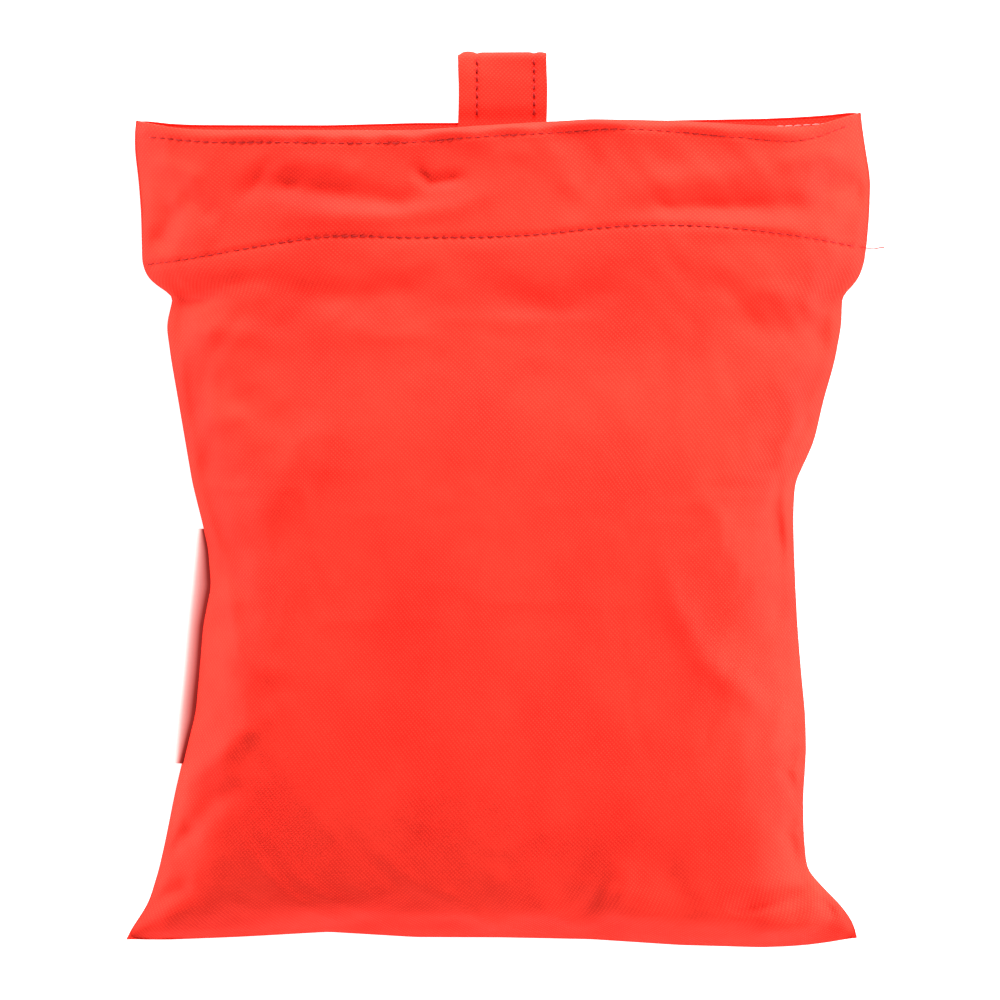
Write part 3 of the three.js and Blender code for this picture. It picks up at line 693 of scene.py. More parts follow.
# %% Back of the pouch
back_rim_line = curve(
    (-121, 129.8), (-104, 128.7), (-52, 128.6), (-20, 129.6), (22, 129.4), (43, 130), (90, 130.8),
    (116, 132.1), (122, 132.6),
)
ON_TABLE = 0.35  # lowest that the middle of a thin cloth may lie
back = subdivided(back_base, 1)
back_plan_fine = back[:, :, :2].copy()
back_edge = side_distance(back_plan_fine)
side_slope = smooth(0, 4, back_edge) * (1 - smooth(10, 24, back_edge))
back[:, :, 2] += 0.9 * ripples_over(back_plan_fine, 10, 5, WRINKLE) * side_slope
back[:, :, 2] += drawn_down(back_plan_fine, back_rim_line, 0.25, 1.1)
back[:, :, 2] = np.maximum(back[:, :, 2], ON_TABLE)
# The hem of the back turns up and in, so it rolls the other way.
back_full = with_hem(back, HEM, -0.7)
pouch_back = cloth_object("pouch_back", back_full, CLOTH, 1)
print("back points:", back_full.shape)

# %% [markdown]
# ## Threads
#
# Every stitch is a short length of thread lying on the cloth between two holes, highest in its middle. A
# row is drawn by dropping each stitch on the finished cloth, so that it follows every fold.


# %% Stitch rows
def tree_of(obj):
    """A search tree over a mesh, in millimetres."""
    points = points_of(obj)
    return BVHTree.FromPolygons(points.tolist(), [tuple(p.vertices) for p in obj.data.polygons])


def dropped(tree, x, y, start):
    """Where a ray straight down from height start meets the cloth, and the cloth's normal there, turned up."""
    place, normal, *_ = tree.ray_cast(Vector((x, y, start)), Vector((0, 0, -1)))
    if place is None:
        place, normal, *_ = tree.find_nearest(Vector((x, y, start)))
    if normal.z < 0:
        normal = -normal
    return np.array(place), np.array(normal)


def stitch(points, faces, start, end, up, radius, arch):
    """One stitch from hole to hole, added to points and faces."""
    rings, sides = 6, 6
    sunk = 0.12  # how far its ends dip into the cloth
    first = len(points)
    axis = end - start
    length = np.linalg.norm(axis)
    axis /= length
    side = np.cross(up, axis)
    side /= np.linalg.norm(side)
    out = np.cross(axis, side)
    for i in range(rings):
        t = i / (rings - 1)
        centre = start + axis * length * t + out * (arch * math.sin(math.pi * t) - sunk)
        # Thinner towards both ends, where it goes into its holes.
        r = radius * (0.45 + 0.55 * math.sin(math.pi * min(1, max(0, 0.12 + 0.76 * t))))
        for k in range(sides):
            a = 2 * math.pi * k / sides
            points.append(centre + side * r * 1.15 * math.cos(a) + out * r * math.sin(a))
    for i in range(rings - 1):
        for k in range(sides):
            a, b = first + i * sides + k, first + i * sides + (k + 1) % sides
            faces.append((a, b, b + sides, a + sides))
    faces.append(tuple(first + k for k in reversed(range(sides))))
    faces.append(tuple(first + (rings - 1) * sides + k for k in range(sides)))


def stitched_row(name, places, normals, radius=0.24, arch=0.22, fill=0.84):
    """A row of stitches through given holes, lying on the cloth."""
    points, faces = [], []
    for a, b, n, m in zip(places[:-1], places[1:], normals[:-1], normals[1:]):
        margin = 0.5 * (1 - fill)
        stitch(points, faces, a + (b - a) * margin, b - (b - a) * margin, n + m, radius, arch)
    return new_object(name, points, faces)


def row_through(name, tree, places, start, proud=0.0, **size):
    """A row of stitches whose holes are given in plan, dropped on the cloth and a little proud of it."""
    found = [dropped(tree, x, y, start) for x, y in places]
    normals = np.array([normal for _, normal in found])
    holes = np.array([place for place, _ in found]) + proud * normals
    return stitched_row(name, holes, normals, **size)


def pitches(xs, ys, pitch=PITCH):
    """Places a pitch apart along a line in plan."""
    run = np.concatenate([[0], np.cumsum(np.hypot(np.diff(xs), np.diff(ys)))])
    at = np.arange(0, run[-1], pitch)
    return list(zip(np.interp(at, run, xs), np.interp(at, run, ys)))


# %% Stitch rows at the mouth
ABOVE = 60  # a height above everything, to drop from
INSIDE = 12  # a height between the back and the front at the mouth
UNDER_HEM = 4.6  # a height just above the back's hem
front_tree = tree_of(pouch_front)
back_tree = tree_of(pouch_back)
xs_rim = np.linspace(-122, 123, 400)
rim_row = row_through("rim_stitches_front", front_tree, pitches(xs_rim, rim_line(xs_rim)), ABOVE)
xs_hem = np.linspace(-123, 127.5, 400)
hem_row = row_through("hem_stitches_front", front_tree, pitches(xs_hem, hem_line(xs_hem)), ABOVE)
xs_back_rim = np.arange(-120, 122, PITCH)
back_rim_row = row_through("rim_stitches_back", back_tree, zip(xs_back_rim, back_rim_line(xs_back_rim)), INSIDE)
xs_back_hem = np.arange(-119, 121, PITCH)
ys_back_hem = back_rim_line(xs_back_hem) - 33
back_hem_row = row_through("hem_stitches_back", back_tree, zip(xs_back_hem, ys_back_hem), UNDER_HEM)
print("stitches along the front hem:", len(pitches(xs_hem, hem_line(xs_hem))) - 1)

# %% [markdown]
# ## Seams inside
#
# The pouch is sewn inside out, so the raw edges of both sheets lie inside, pressed together beside each
# seam, with the seam's own stitches through them. They show when the mouth is open.

# %% Seam allowances and seam stitches inside
STATIONS = 90  # rows of points along a strip


def doubled(name, points, rows, columns, flip):
    """A strip of cloth two plies thick."""
    obj = new_object(name, points, grid_faces(rows, columns, flip=flip))
    set_uv(obj, np.array([(p[0], p[1]) for p in points]))
    thick = obj.modifiers.new("thickness", "SOLIDIFY")
    thick.thickness = 2 * CLOTH * MM
    thick.offset = 0
    return obj


def seam_strip(name, side):
    """The turned-in edges of front and back, pressed together inside a side seam."""
    low, high = (np.array(c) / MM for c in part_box(name))
    rows = np.linspace(low[1], high[1], STATIONS)
    edge = back_cad.edge(1, rows, 0 if side < 0 else 1)
    u = np.array([1.6, 3.0, 5.2])
    points = []
    for y, x in zip(rows, edge):
        base = back_cad.top(x - side * 0.5, y)
        for d in u:
            inner = x - side * d
            points.append((inner, y, max(back_cad.top(inner, y) + 0.45, base - 0.6 * d)))
    return doubled(name + "_allowance", points, len(rows), len(u), side > 0)


allowance_left = seam_strip("side_seam_left", -1)
allowance_right = seam_strip("side_seam_right", 1)
bottom_low, bottom_high = (np.array(c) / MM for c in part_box("bottom_seam"))
bottom_xs = np.linspace(bottom_low[0], bottom_high[0], STATIONS)
bottom_edge = back_cad.edge(0, bottom_xs, 0)
bottom_points = [(x, y + d, 1.35) for x, y in zip(bottom_xs, bottom_edge) for d in (1.6, 3.2, 5.4)]
allowance_bottom = doubled("bottom_seam_allowance", bottom_points, STATIONS, 3, True)

seam_rows = {}
for side, name, strip in ((-1, "left", allowance_left), (1, "right", allowance_right)):
    low, high = (np.array(c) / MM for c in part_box("side_stitching_" + name))
    ys = np.linspace(low[1], high[1], 200)
    xs = back_cad.edge(1, ys, 0 if side < 0 else 1) - side * 3.0
    seam_rows[name] = row_through("seam_stitches_" + name, tree_of(strip), pitches(xs, ys), 30)
low, high = (np.array(c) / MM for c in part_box("bottom_stitching"))
xs = np.linspace(low[0], high[0], 200)
bottom_holes = pitches(xs, back_cad.edge(0, xs, 0) + 3.2)
seam_rows["bottom"] = row_through("seam_stitches_bottom", tree_of(allowance_bottom), bottom_holes, 30)
print("seam strips:", [strip.name for strip in (allowance_left, allowance_right, allowance_bottom)])

# %% [markdown]
# ## Hanging loop
#
# A strap of the pouch's own cloth, folded lengthwise and sewn along both edges, then doubled and caught
# inside the mouth. It is one piece from its sewn root to its free end, so it is one sheet here, bent at the
# rim.

# %% Loop
loop_low, loop_high = (np.array(c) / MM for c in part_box("hang_loop"))
root_low, root_high = (np.array(c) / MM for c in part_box("hang_loop_root"))
loop_joint = next(j for j in frame["joints"] if j["name"] == "loop_lift")
RIM_Y = loop_joint["pos_m"][1] / MM


def loop_profile():
    """The strap's middle line from the root's lower ply, round the free end, to the root's upper ply."""
    y_end, top = loop_high[1] + 0.15, loop_high[2] - 0.45
    anchors = [
        (root_low[1], root_low[2] + 0.1), (root_low[1] + 8, root_low[2] + 0.1), (RIM_Y - 2, root_low[2] + 0.05),
        (RIM_Y + 1.2, 1.9), (RIM_Y + 4.5, 0.6), (y_end - 9, 0.45), (y_end - 4, 0.5), (y_end - 1.2, 1.2),
        (y_end, 2.55), (y_end - 0.4, top - 0.8), (y_end - 1.5, top - 0.1), (y_end - 4, top), (y_end - 9, top),
        (RIM_Y + 5.5, top - 0.2), (RIM_Y + 1.2, 3.7), (RIM_Y - 2, root_high[2] - 0.1),
        (root_low[1] + 8, root_high[2] - 0.15), (root_low[1], root_high[2] - 0.15),
    ]
    anchors = np.array(anchors)
    run = np.concatenate([[0], np.cumsum(np.linalg.norm(np.diff(anchors, axis=0), axis=1))])
    at = np.linspace(0, run[-1], 120)
    line_y, line_z = np.interp(at, run, anchors[:, 0]), np.interp(at, run, anchors[:, 1])
    for _ in range(3):
        line_y[1:-1] = 0.5 * line_y[1:-1] + 0.25 * (line_y[:-2] + line_y[2:])
        line_z[1:-1] = 0.5 * line_z[1:-1] + 0.25 * (line_z[:-2] + line_z[2:])
    return line_y, line_z


LOOP_ROWS = (6.6, 26.6)  # the two stitched rows, from the strap's left edge
line_y, line_z = loop_profile()
width_x = np.linspace(loop_low[0], loop_high[0], 41)
tangent = np.gradient(np.stack([line_y, line_z], axis=1), axis=0)
tangent /= np.linalg.norm(tangent, axis=1, keepdims=True)
outward = np.stack([tangent[:, 1], -tangent[:, 0]], axis=1)
loop_points = np.zeros((len(line_y), len(width_x), 3))
for k, x in enumerate(width_x):
    from_left, from_right = x - loop_low[0], loop_high[0] - x
    groove = sum(math.exp(-(((from_left - s) / 0.9) ** 2)) for s in LOOP_ROWS)
    corner = 1.0 * math.exp(-((from_left / 1.3) ** 2)) + 0.4 * math.exp(-((from_right / 0.8) ** 2))
    near_end = smooth(RIM_Y + 12, loop_high[1], line_y)
    puff = 0.3 * math.sin(math.pi * min(1, from_left / 6.6)) - 0.4 * groove
    sway = 0.45 * np.sin(line_y / 4.2 + x / 9)
    loop_points[:, k, 0] = x + 0.25 * np.sin(line_y / 7.0) * (1 - near_end)
    loop_points[:, k, 1] = line_y + outward[:, 0] * puff - corner * near_end
    loop_points[:, k, 2] = line_z + outward[:, 1] * puff + np.where(line_z > 2.6, sway, 0) * near_end
loop_strap = cloth_object("hanging_loop", loop_points, 0.55, 0)  # cloth folded lengthwise, so two plies
print("loop stands out, mm:", round(float(loop_points[:, :, 1].max() - RIM_Y), 1))


# %% Stitches of the loop
def boxed_cross(x0, y0, x1, y1, pitch):
    """Places along a sewn box, once round it and then from corner to corner."""
    corners = [(x0, y0), (x1, y0), (x1, y1), (x0, y1), (x0, y0), (x1, y1)]
    places = []
    for (ax, ay), (bx, by) in zip(corners[:-1], corners[1:]):
        count = max(2, round(math.hypot(bx - ax, by - ay) / pitch))
        places += [(ax + (bx - ax) * i / count, ay + (by - ay) * i / count) for i in range(count)]
    return places


LOOP_PITCH = 2.9  # the loop's stitches are a little shorter and thicker than the pouch's
PROUD = 0.3  # how far the loop's thread stands out of its strap
loop_tree = tree_of(loop_strap)
loop_rows = {}
for name, s in zip(("left", "right"), LOOP_ROWS):
    ys = np.arange(RIM_Y + 2.4, loop_high[1] - 1.2, LOOP_PITCH)
    places = [(loop_low[0] + s + 0.15 * math.sin(y), y) for y in ys]
    loop_rows[name] = row_through(
        "loop_stitches_" + name, loop_tree, places, 20, PROUD, radius=0.36, arch=0.25, fill=0.74
    )
(low_x, low_y, _), (high_x, high_y, _) = (np.array(c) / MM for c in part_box("loop_anchor_stitching"))
anchor_places = boxed_cross(low_x + 0.4, low_y + 0.4, high_x - 0.4, high_y - 0.4, PITCH)
anchor_row = row_through("loop_anchor_stitches", loop_tree, anchor_places, INSIDE, PROUD)
print("stitches holding the loop:", len(anchor_places) - 1)

# %% [markdown]
# ## Care label
#
# A strip of white woven satin, caught in the left side seam. It comes out of the seam, drops to the table
# in an S and its free edge lies on it. It has no lettering.

# %% Label
label_joint = next(j for j in frame["joints"] if j["name"] == "label_lift")
label_axis = np.array(label_joint["axis"])
label_axis = label_axis / np.linalg.norm(label_axis)
label_pivot = np.array(label_joint["pos_m"]) / MM
label_low, label_high = (np.array(c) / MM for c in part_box("label"))
LABEL_ROWS, LABEL_COLUMNS = 60, 36
# The S across the label, as (how far out from its hinge line, height from the hinge), beyond the seam.
S_OUT = [1.0, 2.2, 3.1, 4.0, 5.4, 7.0]
S_HEIGHT = [-0.5, -2.6, -5.0, -7.4, -9.0, -9.6]
across = np.linspace(0, 1, LABEL_COLUMNS)
share = np.linspace(0, 1, 2 + len(S_OUT))
label_ys = np.linspace(label_low[1], label_high[1], LABEL_ROWS)
label_seam = front_cad.edge(1, label_ys, 0)
label_grid = np.zeros((LABEL_ROWS, LABEL_COLUMNS, 3))
for i, y in enumerate(label_ys):
    root = label_pivot + label_axis * ((y - label_pivot[1]) / label_axis[1])
    t = i / (LABEL_ROWS - 1)
    wave = 0.35 * math.sin(t * 7.0) + 0.3 * math.sin(t * 17.0 + 1)
    to_seam = root[0] - label_seam[i]
    out_mm = np.interp(across, share, [to_seam - 0.8, to_seam + 0.4, *S_OUT])
    up_mm = np.interp(across, share, [0.1, 0.1, *S_HEIGHT])
    label_grid[i, :, 0] = root[0] - out_mm + 0.6 * wave * across
    label_grid[i, :, 1] = y
    label_grid[i, :, 2] = np.maximum(ON_TABLE, root[2] + up_mm + 0.2 * wave)
for _ in range(3):
    label_grid[:, 1:-1] = 0.5 * label_grid[:, 1:-1] + 0.25 * (label_grid[:, :-2] + label_grid[:, 2:])
care_label = cloth_object("care_label", label_grid, 0.25, 0)
print("label length, mm:", round(float(label_high[1] - label_low[1]), 1))

# %% [markdown]
# ## The folded blanket
#
# One square of glass cloth, folded in fifths across and then in fifths along, like a letter folded both
# ways. The first folding makes a strip five layers thick. The second folds that strip. So a point's place
# is the strip's middle line plus its own layer's height across the strip, and the same few lines of
# arithmetic place all of it.

# %% Fold the blanket
FOLDS = 5  # passes each way
LAYER = (blanket_high[2] - blanket_low[2]) / FOLDS**2  # from one layer to the next, with the air between
STRIP = LAYER * FOLDS
STEP = 0.2  # how far ahead and behind the path's direction is measured


def accordion(distance, low, high, pitch, seed):
    """Place, height and direction along a zigzag of FOLDS passes between low and high, pitch apart."""
    rng = np.random.default_rng(seed)
    radius = pitch / 2
    ends = [(low + radius + rng.uniform(0.1, 1.3), high - radius - rng.uniform(0.1, 1.3)) for _ in range(FOLDS)]
    path = []
    for i in range(FOLDS):
        forward = i % 2 == 0
        a, b = ends[i] if forward else ends[i][::-1]
        if i == 0:
            a = low + 0.3
        if i == FOLDS - 1:
            b = (high if forward else low) - (0.3 if forward else -0.3)
        z = (i - (FOLDS - 1) / 2) * pitch
        path += [(a + (b - a) * t, z) for t in np.linspace(0, 1, 9)]
        if i < FOLDS - 1:
            turn = 1 if forward else -1
            path += [(b + turn * radius * math.sin(t), z + radius * (1 - math.cos(t)))
                     for t in np.linspace(0, math.pi, 7)[1:-1]]
            following = ends[i + 1]
            ends[i + 1] = (following[0], b) if forward else (b, following[1])
    path = np.array(path)
    run = np.concatenate([[0], np.cumsum(np.linalg.norm(np.diff(path, axis=0), axis=1))])
    at = distance * run[-1]
    place, height = np.interp(at, run, path[:, 0]), np.interp(at, run, path[:, 1])
    before, after = np.maximum(at - STEP, 0), np.minimum(at + STEP, run[-1])
    ahead = np.interp(after, run, path[:, 0]) - np.interp(before, run, path[:, 0])
    rise = np.interp(after, run, path[:, 1]) - np.interp(before, run, path[:, 1])
    size = np.hypot(ahead, rise)
    return place, height, ahead / size, rise / size, run


def path_stations(low, high, pitch, seed):
    """Even shares of the path that put points on every bend."""
    *_, run = accordion(np.array([0.0]), low, high, pitch, seed)
    return run / run[-1]


u_share = path_stations(blanket_low[0], blanket_high[0], LAYER, 3)
v_share = path_stations(blanket_low[1], blanket_high[1], STRIP, 4)
x_u, h_u, _, _, _ = accordion(u_share, blanket_low[0], blanket_high[0], LAYER, 3)
y_v, z_v, dy, dz, _ = accordion(v_share, blanket_low[1] + 0.4, blanket_high[1] - 0.4, STRIP, 4)
middle_z = 0.5 * (blanket_low[2] + blanket_high[2])
folded = np.zeros((len(v_share), len(u_share), 3))
folded[:, :, 0] = x_u[None, :]
folded[:, :, 1] = y_v[:, None] - dz[:, None] * h_u[None, :]
folded[:, :, 2] = middle_z + z_v[:, None] + dy[:, None] * h_u[None, :]
left_thick = pressed(folded[:, :, 0], folded[:, :, 1])
folded[:, :, 2] = blanket_low[2] + (folded[:, :, 2] - blanket_low[2]) * left_thick
# The cloth is drawn thinner than its 0.43 mm, so that the pressed layers do not touch.
glass_blanket = cloth_object("glass_cloth_blanket", folded, 0.32, 0)
hem_y = blanket_high[1] - 8
hem_places = [(x, hem_y) for x in np.arange(blanket_low[0] + 4, blanket_high[0] - 4, PITCH)]
blanket_row = row_through(
    "blanket_hem_stitches", tree_of(glass_blanket), hem_places, ABOVE, 0.2, radius=0.2, arch=0.15
)
print("blanket layers:", FOLDS**2, "at", round(LAYER, 3), "mm")

# %% [markdown]
# ## Pull tabs
#
# Two straps of black webbing are sewn to the blanket, to pull it out by. The free end of each is turned
# over and sewn down with a crossed box, so that it does not fray. The strap is one sheet that turns over at
# its end.


# %% Pull tabs
TAB_ROWS, TAB_COLUMNS = 70, 15


def pull_tab(side):
    """A strap of black webbing with its free end turned over and sewn down."""
    low, high = (np.array(c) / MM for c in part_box("pull_tab_" + side))
    end, top = high[1], high[2]
    ys = np.concatenate([
        np.linspace(low[1] - 0.4, end - 1.0, TAB_ROWS),  # out to the end
        np.full(3, end - 0.3),  # round it
        np.linspace(end - 1.0, end - 12, 11),  # and back below itself
    ])
    turn_z = [top - 0.95, top - 1.15, top - 1.35]
    zs = np.concatenate([np.full(TAB_ROWS, top - 0.75), turn_z, np.full(11, top - 1.5)])
    points = np.zeros((len(ys), TAB_COLUMNS, 3))
    for k in range(TAB_COLUMNS):
        x = low[0] + 0.3 + (high[0] - low[0] - 0.6) * k / (TAB_COLUMNS - 1)
        edge = abs(2 * k / (TAB_COLUMNS - 1) - 1)
        points[:, k] = np.column_stack([np.full(len(ys), x), ys, zs - 0.1 * edge**4])
    strap = cloth_object("webbing_tab_" + side, points, 0.7, 0)
    places = boxed_cross(low[0] + 3, end - 10.5, high[0] - 3, end - 2.5, 2.4)
    sewn = row_through("tab_stitches_" + side, tree_of(strap), places, 40, 0.42, radius=0.2, arch=0.15)
    return strap, sewn


tabs = {side: pull_tab(side) for side in ("left", "right")}
print("pull tabs:", [strap.name for strap, _ in tabs.values()])

# %% [markdown]
# ## Loose thread
#
# Where a row of stitches ends, a short tail of thread is left over. It is a thin tube along a few given
# bends, thicker at its frayed end.

# %% Loose thread at the end of the hem's row
TAIL_X = 127.2  # where the hem's row ends
TAIL_SIDES = 6
TAIL_BENDS = [
    (-1.5, 0, 0.25), (0.6, 0.1, 0.4), (2.4, -0.3, 0.1), (4.4, -0.35, -1.0), (6.4, 0.1, -2.0), (8.2, 0.2, -2.5),
]
tail_start, _ = dropped(front_tree, TAIL_X, float(hem_line(TAIL_X)), ABOVE)
tail_points, tail_faces = [], []
for i, bend in enumerate(TAIL_BENDS):
    radius = 0.16 if i < 4 else 0.22
    centre = tail_start + np.array(bend)
    for k in range(TAIL_SIDES):
        a = 2 * math.pi * k / TAIL_SIDES
        tail_points.append(centre + np.array((0, radius * math.cos(a), radius * math.sin(a))))
for i in range(len(TAIL_BENDS) - 1):
    for k in range(TAIL_SIDES):
        a, b = i * TAIL_SIDES + k, i * TAIL_SIDES + (k + 1) % TAIL_SIDES
        tail_faces.append((a, b, b + TAIL_SIDES, a + TAIL_SIDES))
thread_tail = new_object("loose_thread", tail_points, tail_faces)
print("loose thread, mm past the hem's row:", TAIL_BENDS[-1][0])

# %% [markdown]
# ## Materials
#
# Every piece here is cloth or thread, and all of it shows two sets of yarns crossing. One function draws
# that for any of them: two sets of ridges multiplied together give the grain, and a slow noise lets the
# colour drift. Colours are written as screen hex and turned to linear light.


# %% Material tools
def linear(hex_colour):
    """A screen colour such as F4413A as linear red, green, blue and alpha."""
    parts = [int(hex_colour[i : i + 2], 16) / 255 for i in (0, 2, 4)]
    return [p / 12.92 if p <= 0.04045 else ((p + 0.055) / 1.055) ** 2.4 for p in parts] + [1.0]


def feed(tree, node, inputs):
    """Sets a node's inputs, or links them, by name."""
    for name, value in dict(inputs).items():
        socket = node.inputs[name]
        if isinstance(value, bpy.types.NodeSocket):
            tree.links.new(value, socket)
        else:
            socket.default_value = value


def add(tree, kind, inputs=(), **settings):
    """A node with its settings, its values and its links in one line."""
    made = tree.nodes.new(kind)
    for name, value in settings.items():
        setattr(made, name, value)
    feed(tree, made, inputs)
    return made


def finish_named(name):
    """A new material and its shader."""
    material = bpy.data.materials.new(name)
    material.use_nodes = True
    tree = material.node_tree
    return material, tree, tree.nodes["Principled BSDF"]


# %% Woven cloth
WAVE_PERIOD = 0.314  # a wave texture's period, in its own units, at scale 1
GLOSS = 0.06  # kept low, because at grazing angles a stronger gloss turns the cloth white


def ridges(tree, where, scale, direction):
    """One set of yarns: parallel ridges, a little uneven."""
    values = {"Vector": where, "Scale": scale, "Distortion": 1.2, "Detail": 1.0, "Detail Scale": 3.0}
    return add(tree, "ShaderNodeTexWave", values, bands_direction=direction).outputs["Fac"]


def woven(name, deep, light, spacing, roughness, sheen, bump, diagonal=True, cloud=1.0):
    """Cloth whose yarns are spacing millimetres apart, its colour drifting between deep and light."""
    material, tree, shader = finish_named(name)
    where = add(tree, "ShaderNodeTexCoord").outputs["UV"]
    turn = (0, 0, math.radians(45 if diagonal else 0))
    turned = add(tree, "ShaderNodeMapping", {"Vector": where, "Rotation": turn}).outputs[0]
    scale = WAVE_PERIOD / (spacing * MM)
    ribs, crossing = ridges(tree, turned, scale, "X"), ridges(tree, turned, scale * 0.9, "Y")
    both = add(tree, "ShaderNodeMath", {0: ribs, 1: crossing}, operation="MULTIPLY").outputs[0]
    slow = add(tree, "ShaderNodeTexNoise", {"Vector": where, "Scale": 28.0, "Detail": 3.0}).outputs["Fac"]
    drift = {"Value": slow, "To Min": 0.5 - 0.5 * cloud, "To Max": 0.5 + 0.5 * cloud}
    level = add(tree, "ShaderNodeMapRange", drift).outputs[0]
    grain = add(tree, "ShaderNodeMath", {0: both, 1: 0.75}, operation="MULTIPLY").outputs[0]
    shade = add(tree, "ShaderNodeMath", {0: grain, 1: level}, operation="ADD").outputs[0]
    ramp = add(tree, "ShaderNodeValToRGB", {"Fac": shade})
    for stop, place, colour in zip(ramp.color_ramp.elements, (0.3, 1.0), (deep, light)):
        stop.position, stop.color = place, linear(colour)
    relief = add(tree, "ShaderNodeBump", {"Height": both, "Strength": bump, "Distance": 0.1 * MM})
    feed(tree, shader, {
        "Base Color": ramp.outputs["Color"],
        "Normal": relief.outputs["Normal"],
        "Roughness": roughness,
        "Sheen Weight": sheen,
        "Sheen Roughness": 0.45,
        "IOR": 1.5,
        "Specular IOR Level": GLOSS,
    })
    return material


# %% Finishes
# Each line gives: deep and light colour, yarn spacing in mm, roughness, sheen and depth of the grain.
# The yarns of every cloth and thread are drawn coarser than the real ones, so that they show.

# Pouch: nylon yarns dyed a strong red and woven closely. Smooth yarns give an even colour with a fine
# slanting grain.
red_nylon = woven("red_nylon_taffeta", "E8261D", "FF3A2B", 0.95, 0.62, 0.0, 0.8)
# Its cut edges inside: the same cloth seen from its wrong side, duller and with a little fuzz.
red_inside = woven("red_nylon_inside", "D81E1B", "EC2E28", 0.85, 0.6, 0.1, 0.5)
# Sewing thread: polyester fibres spun and twisted, so matt. It is drawn darker than the cloth, because each
# stitch on the real pouch is seen with the shade of its own hole.
red_thread = woven("red_polyester_thread", "8E1210", "B8201C", 0.35, 0.5, 0.1, 0.6)
# The thread at the back of the mouth is paler than the cloth, so its stitches stand out. Part of its pale pink
# is painted highlight, the light these stitches catch.
pale_thread = woven("pale_highlit_polyester_thread", "C86B66", "E79A94", 0.35, 0.5, 0.1, 0.6)
# Undyed thread on the blanket and its tabs.
white_thread = woven("white_polyester_thread", "D8D6D0", "F6F4EE", 0.35, 0.5, 0.1, 0.6)
# Label: satin woven from white filament, close and smooth, so nearly no grain shows.
white_satin = woven("white_woven_satin", "EDEBE8", "FFFFFF", 0.4, 0.4, 0.1, 0.25, diagonal=False)
# Blanket: heavy yarns of glass filament in an open weave, with deep shade between them. The real cloth is
# whiter; it is drawn greyer, so that it stands out from the floor.
glass_cloth = woven("glass_fibre_cloth", "5E5B52", "A8A498", 1.6, 0.6, 0.0, 1.0, diagonal=False, cloud=0.2)
# Tabs: thick polyester webbing dyed black, with strong ribs.
webbing = woven("black_polyester_webbing", "0C0C0D", "2A2A2D", 1.1, 0.6, 0.15, 1.0)
print("finishes:", len(bpy.data.materials))

# %% [markdown]
# ## The label's root
#
# The label is thin white satin. Near its root it is given painted shade from the seam and painted red light
# bounced from the pouch: a row of shades across its width, dark red at the seam and pink further out,
# multiplied into its own colour. It fades to plain white 13 mm from the seam.

# %% Painted shade and red bounce light at the label's root
SHADE_REACH = 13.0
# Painted shade and painted red bounce light: dark red at the seam, pink further out, plain white beyond.
SEAM_SHADE_AND_BOUNCE = [(0.0, "6E1210"), (0.13, "8E2A26"), (0.22, "CC6A66"), (0.4, "E6ABA8"), (0.65, "F2D0CE"), (1.0, "FFFFFF")]
label_tree = white_satin.node_tree
label_shader = label_tree.nodes["Principled BSDF"]
label_threads = label_shader.inputs["Base Color"].links[0].from_socket
label_uv = add(label_tree, "ShaderNodeTexCoord").outputs["UV"]
from_seam = add(label_tree, "ShaderNodeSeparateXYZ", {0: label_uv}).outputs[0]
reach = {"Value": from_seam, "From Max": SHADE_REACH * MM}
label_reach = add(label_tree, "ShaderNodeMapRange", reach).outputs[0]
seam_shade_ramp = add(label_tree, "ShaderNodeValToRGB", {"Fac": label_reach})
shade_stops = seam_shade_ramp.color_ramp.elements
for place, _ in SEAM_SHADE_AND_BOUNCE[1:-1]:
    shade_stops.new(place)
for stop, (_, shade) in zip(shade_stops, SEAM_SHADE_AND_BOUNCE):
    stop.color = linear(shade)
painted_light_inputs = {0: 1.0, 6: label_threads, 7: seam_shade_ramp.outputs[0]}
painted_light_mix = add(label_tree, "ShaderNodeMix", painted_light_inputs, data_type="RGBA", blend_type="MULTIPLY")
label_tree.links.new(painted_light_mix.outputs[2], label_shader.inputs["Base Color"])
print("label's shades at:", [round(stop.position, 2) for stop in shade_stops])


# %% Each piece gets its finish
def paint(obj, material):
    """Gives a piece its one finish."""
    obj.data.materials.clear()
    obj.data.materials.append(material)


red_rows = [rim_row, hem_row, thread_tail, *loop_rows.values(), *seam_rows.values()]
pale_rows = [back_rim_row, back_hem_row, anchor_row]
white_rows = [blanket_row, tabs["left"][1], tabs["right"][1]]
PAINTED = [
    (red_nylon, [pouch_front, pouch_back, loop_strap]),
    (red_inside, [allowance_left, allowance_right, allowance_bottom]),
    (red_thread, red_rows),
    (pale_thread, pale_rows),
    (white_thread, white_rows),
    (white_satin, [care_label]),
    (glass_cloth, [glass_blanket]),
    (webbing, [tabs["left"][0], tabs["right"][0]]),
]
for material, pieces in PAINTED:
    for piece in pieces:
        paint(piece, material)
# Threads need a UV map too, for the twist drawn on them.
for piece in red_rows + pale_rows + white_rows:
    places = points_of(piece)
    set_uv(piece, np.stack([places[:, 0] + places[:, 2], places[:, 1]], axis=1))
print("pieces painted:", sum(len(pieces) for _, pieces in PAINTED))

# %% [markdown]
# ## Riding on the bodies
#
# Each piece moves with a body of the measured model. The front is one cloth over two bodies, so it bends
# between them, and the bend fades out towards the side seams, which stay sewn.

# %% Bend the front at the mouth
BEND = 14.0  # the bend begins this far below the hinge line and ends as far above it
HELD = 62.0  # how far in from the side seams the front is still held back


